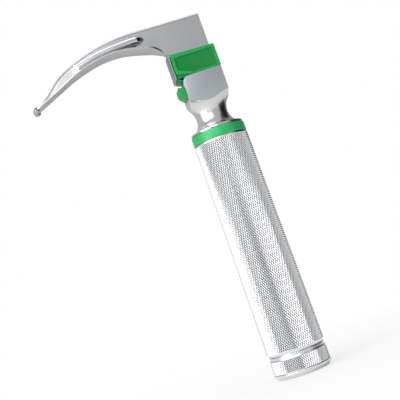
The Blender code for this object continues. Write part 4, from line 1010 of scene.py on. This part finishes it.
strip_finish = finish("strip_steel", (0.36, 0.36, 0.36), (0.29, 0.29, 0.29), (0.3, 0.42),
                      grain=(3000, 3000, 250), depth=0.0006)
strip_low, strip_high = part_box("heel_plate")
strip_side = rounded([(-strip_high.y, strip_low.z, 0.4 * mm), (-strip_high.y, strip_high.z, 0.9 * mm),
                      (strip_high.y, strip_high.z, 0.9 * mm), (strip_high.y, strip_low.z, 0.4 * mm)])
strip_form = plate(strip_side, strip_low.x, strip_low.x + 0.7 * mm)
strip_form.transform(Matrix(((0, 1, 0, 0), (1, 0, 0, 0), (0, 0, 1, 0), (0, 0, 0, 1))))
bmesh.ops.reverse_faces(strip_form, faces=strip_form.faces)
tab_part = [(-12.05 * mm, pivot.z + 5 * mm), (-12.05 * mm, pivot.z + 5.7 * mm),
            (-8.2 * mm, pivot.z + 5.7 * mm), (-8.2 * mm, pivot.z + 5 * mm)]
strip_mesh = carve(solid(strip_form), [("UNION", solid(plate(tab_part, -3.69 * mm, 3.69 * mm)))],
                   bevel=0.12 * mm, segments=2, angle=50.0)
show("front_strip", strip_mesh, strip_finish, "blade", ["heel_plate"])

# --- Light guide ------------------------------------------------------------------------
# Optical fibres in a bright steel sheath. It runs up through the heel, crosses the web and
# lies along it, and ends in a polished window that throws the light past the tip.

sheath = finish("guide_sheath", (0.74, 0.75, 0.76), (0.66, 0.66, 0.68), (0.12, 0.22),
                grain=(250, 3000, 3000), depth=0.0008)
show("light_guide_sheath", swept(guide_route, 2.0 * mm, smooth=10, resolution=7), sheath, "blade",
     ["light_guide"])
lit = finish("outlet_glow", (1, 0.97, 0.85), (1, 0.93, 0.75), (0.05, 0.1), depth=0.0003,
             metal=0.0)
lit_shader = lit.node_tree.nodes["Principled BSDF"]
lit_shader.inputs["Emission Color"].default_value = (1, 0.87, 0.58, 1)
lit_shader.inputs["Emission Strength"].default_value = 9.0
for window_name, pane in (("outlet_window", lit), ("inlet_window", glass)):
    centre = sum(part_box(window_name), Vector()) / 2
    along = Vector((0, 0, 1))
    if pane is lit:
        along = (guide_route[-1] - guide_route[-2]).normalized() - Vector((0, 0, 0.06))
    turn = Vector((0, 0, 1)).rotation_difference(along.normalized()).to_matrix().to_4x4()
    disc = lathe([(0, 0.45 * mm)] + rounded([
        (2 * mm, 0.45 * mm, 0.2 * mm), (2 * mm, -0.45 * mm, 0.05 * mm), (0, -0.45 * mm),
        (0, 0.45 * mm)])[:-2] + [(0, -0.45 * mm)], steps=64)
    disc.transform(Matrix.Translation(centre) @ turn)
    show(window_name + "_pane", disc, pane, "blade", [window_name])
collar_low, collar_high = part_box("inlet_ferrule")
show("inlet_ferrule_sleeve", lathe(rounded([
    (collar_high.x, collar_high.z, 0.1 * mm), (collar_high.x, collar_low.z, 0.15 * mm),
    (2.3 * mm, collar_low.z, 0.1 * mm), (2.3 * mm, collar_high.z)]), steps=96),
    pin_finish, "blade", ["inlet_ferrule"])

# --- Detent balls -----------------------------------------------------------------------
# Hard chrome-steel balls, ground and polished, that click into the cheeks of the head. A
# small coil in the heel pushes each one out.

for ball_name, ball_body in (("detent_ball_near", "near_detent"), ("detent_ball_far", "far_detent")):
    low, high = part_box(ball_name)
    radius = (high.x - low.x) / 2
    sphere = lathe([(0, radius)] + arc((0, 0), (radius, radius), 84, -84, 28) + [(0, -radius)],
                   steps=48)
    sphere.transform(Matrix.Translation((low + high) / 2))
    show(ball_name + "_sphere", sphere, pin_finish, ball_body, [ball_name])

# The coil behind each ball is wound from spring wire and tapers towards the ball. It is
# pressed shorter between the heel and its ball.
for spring_name, spring_body, side in (("detent_spring_near", "near_detent", -1),
                                       ("detent_spring_far", "far_detent", 1)):
    low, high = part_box(spring_name)
    wire_radius = 0.16 * mm
    inner, outer = min(abs(low.y), abs(high.y)), max(abs(low.y), abs(high.y))
    wound = grown(coil, turns=2.5, bottom=inner, top=outer, bottom_radius=1.0 * mm,
                  top_radius=0.7 * mm, wire_radius=wire_radius, steps=120, material=wire)
    wound.transform(Matrix.Translation(ball_place) @ Matrix.Rotation(-side * math.pi / 2, 4, "X"))
    small_coil = show(spring_name + "_coil", wound, wire, None, [spring_name],
                      sharp=50.0)
    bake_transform(small_coil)
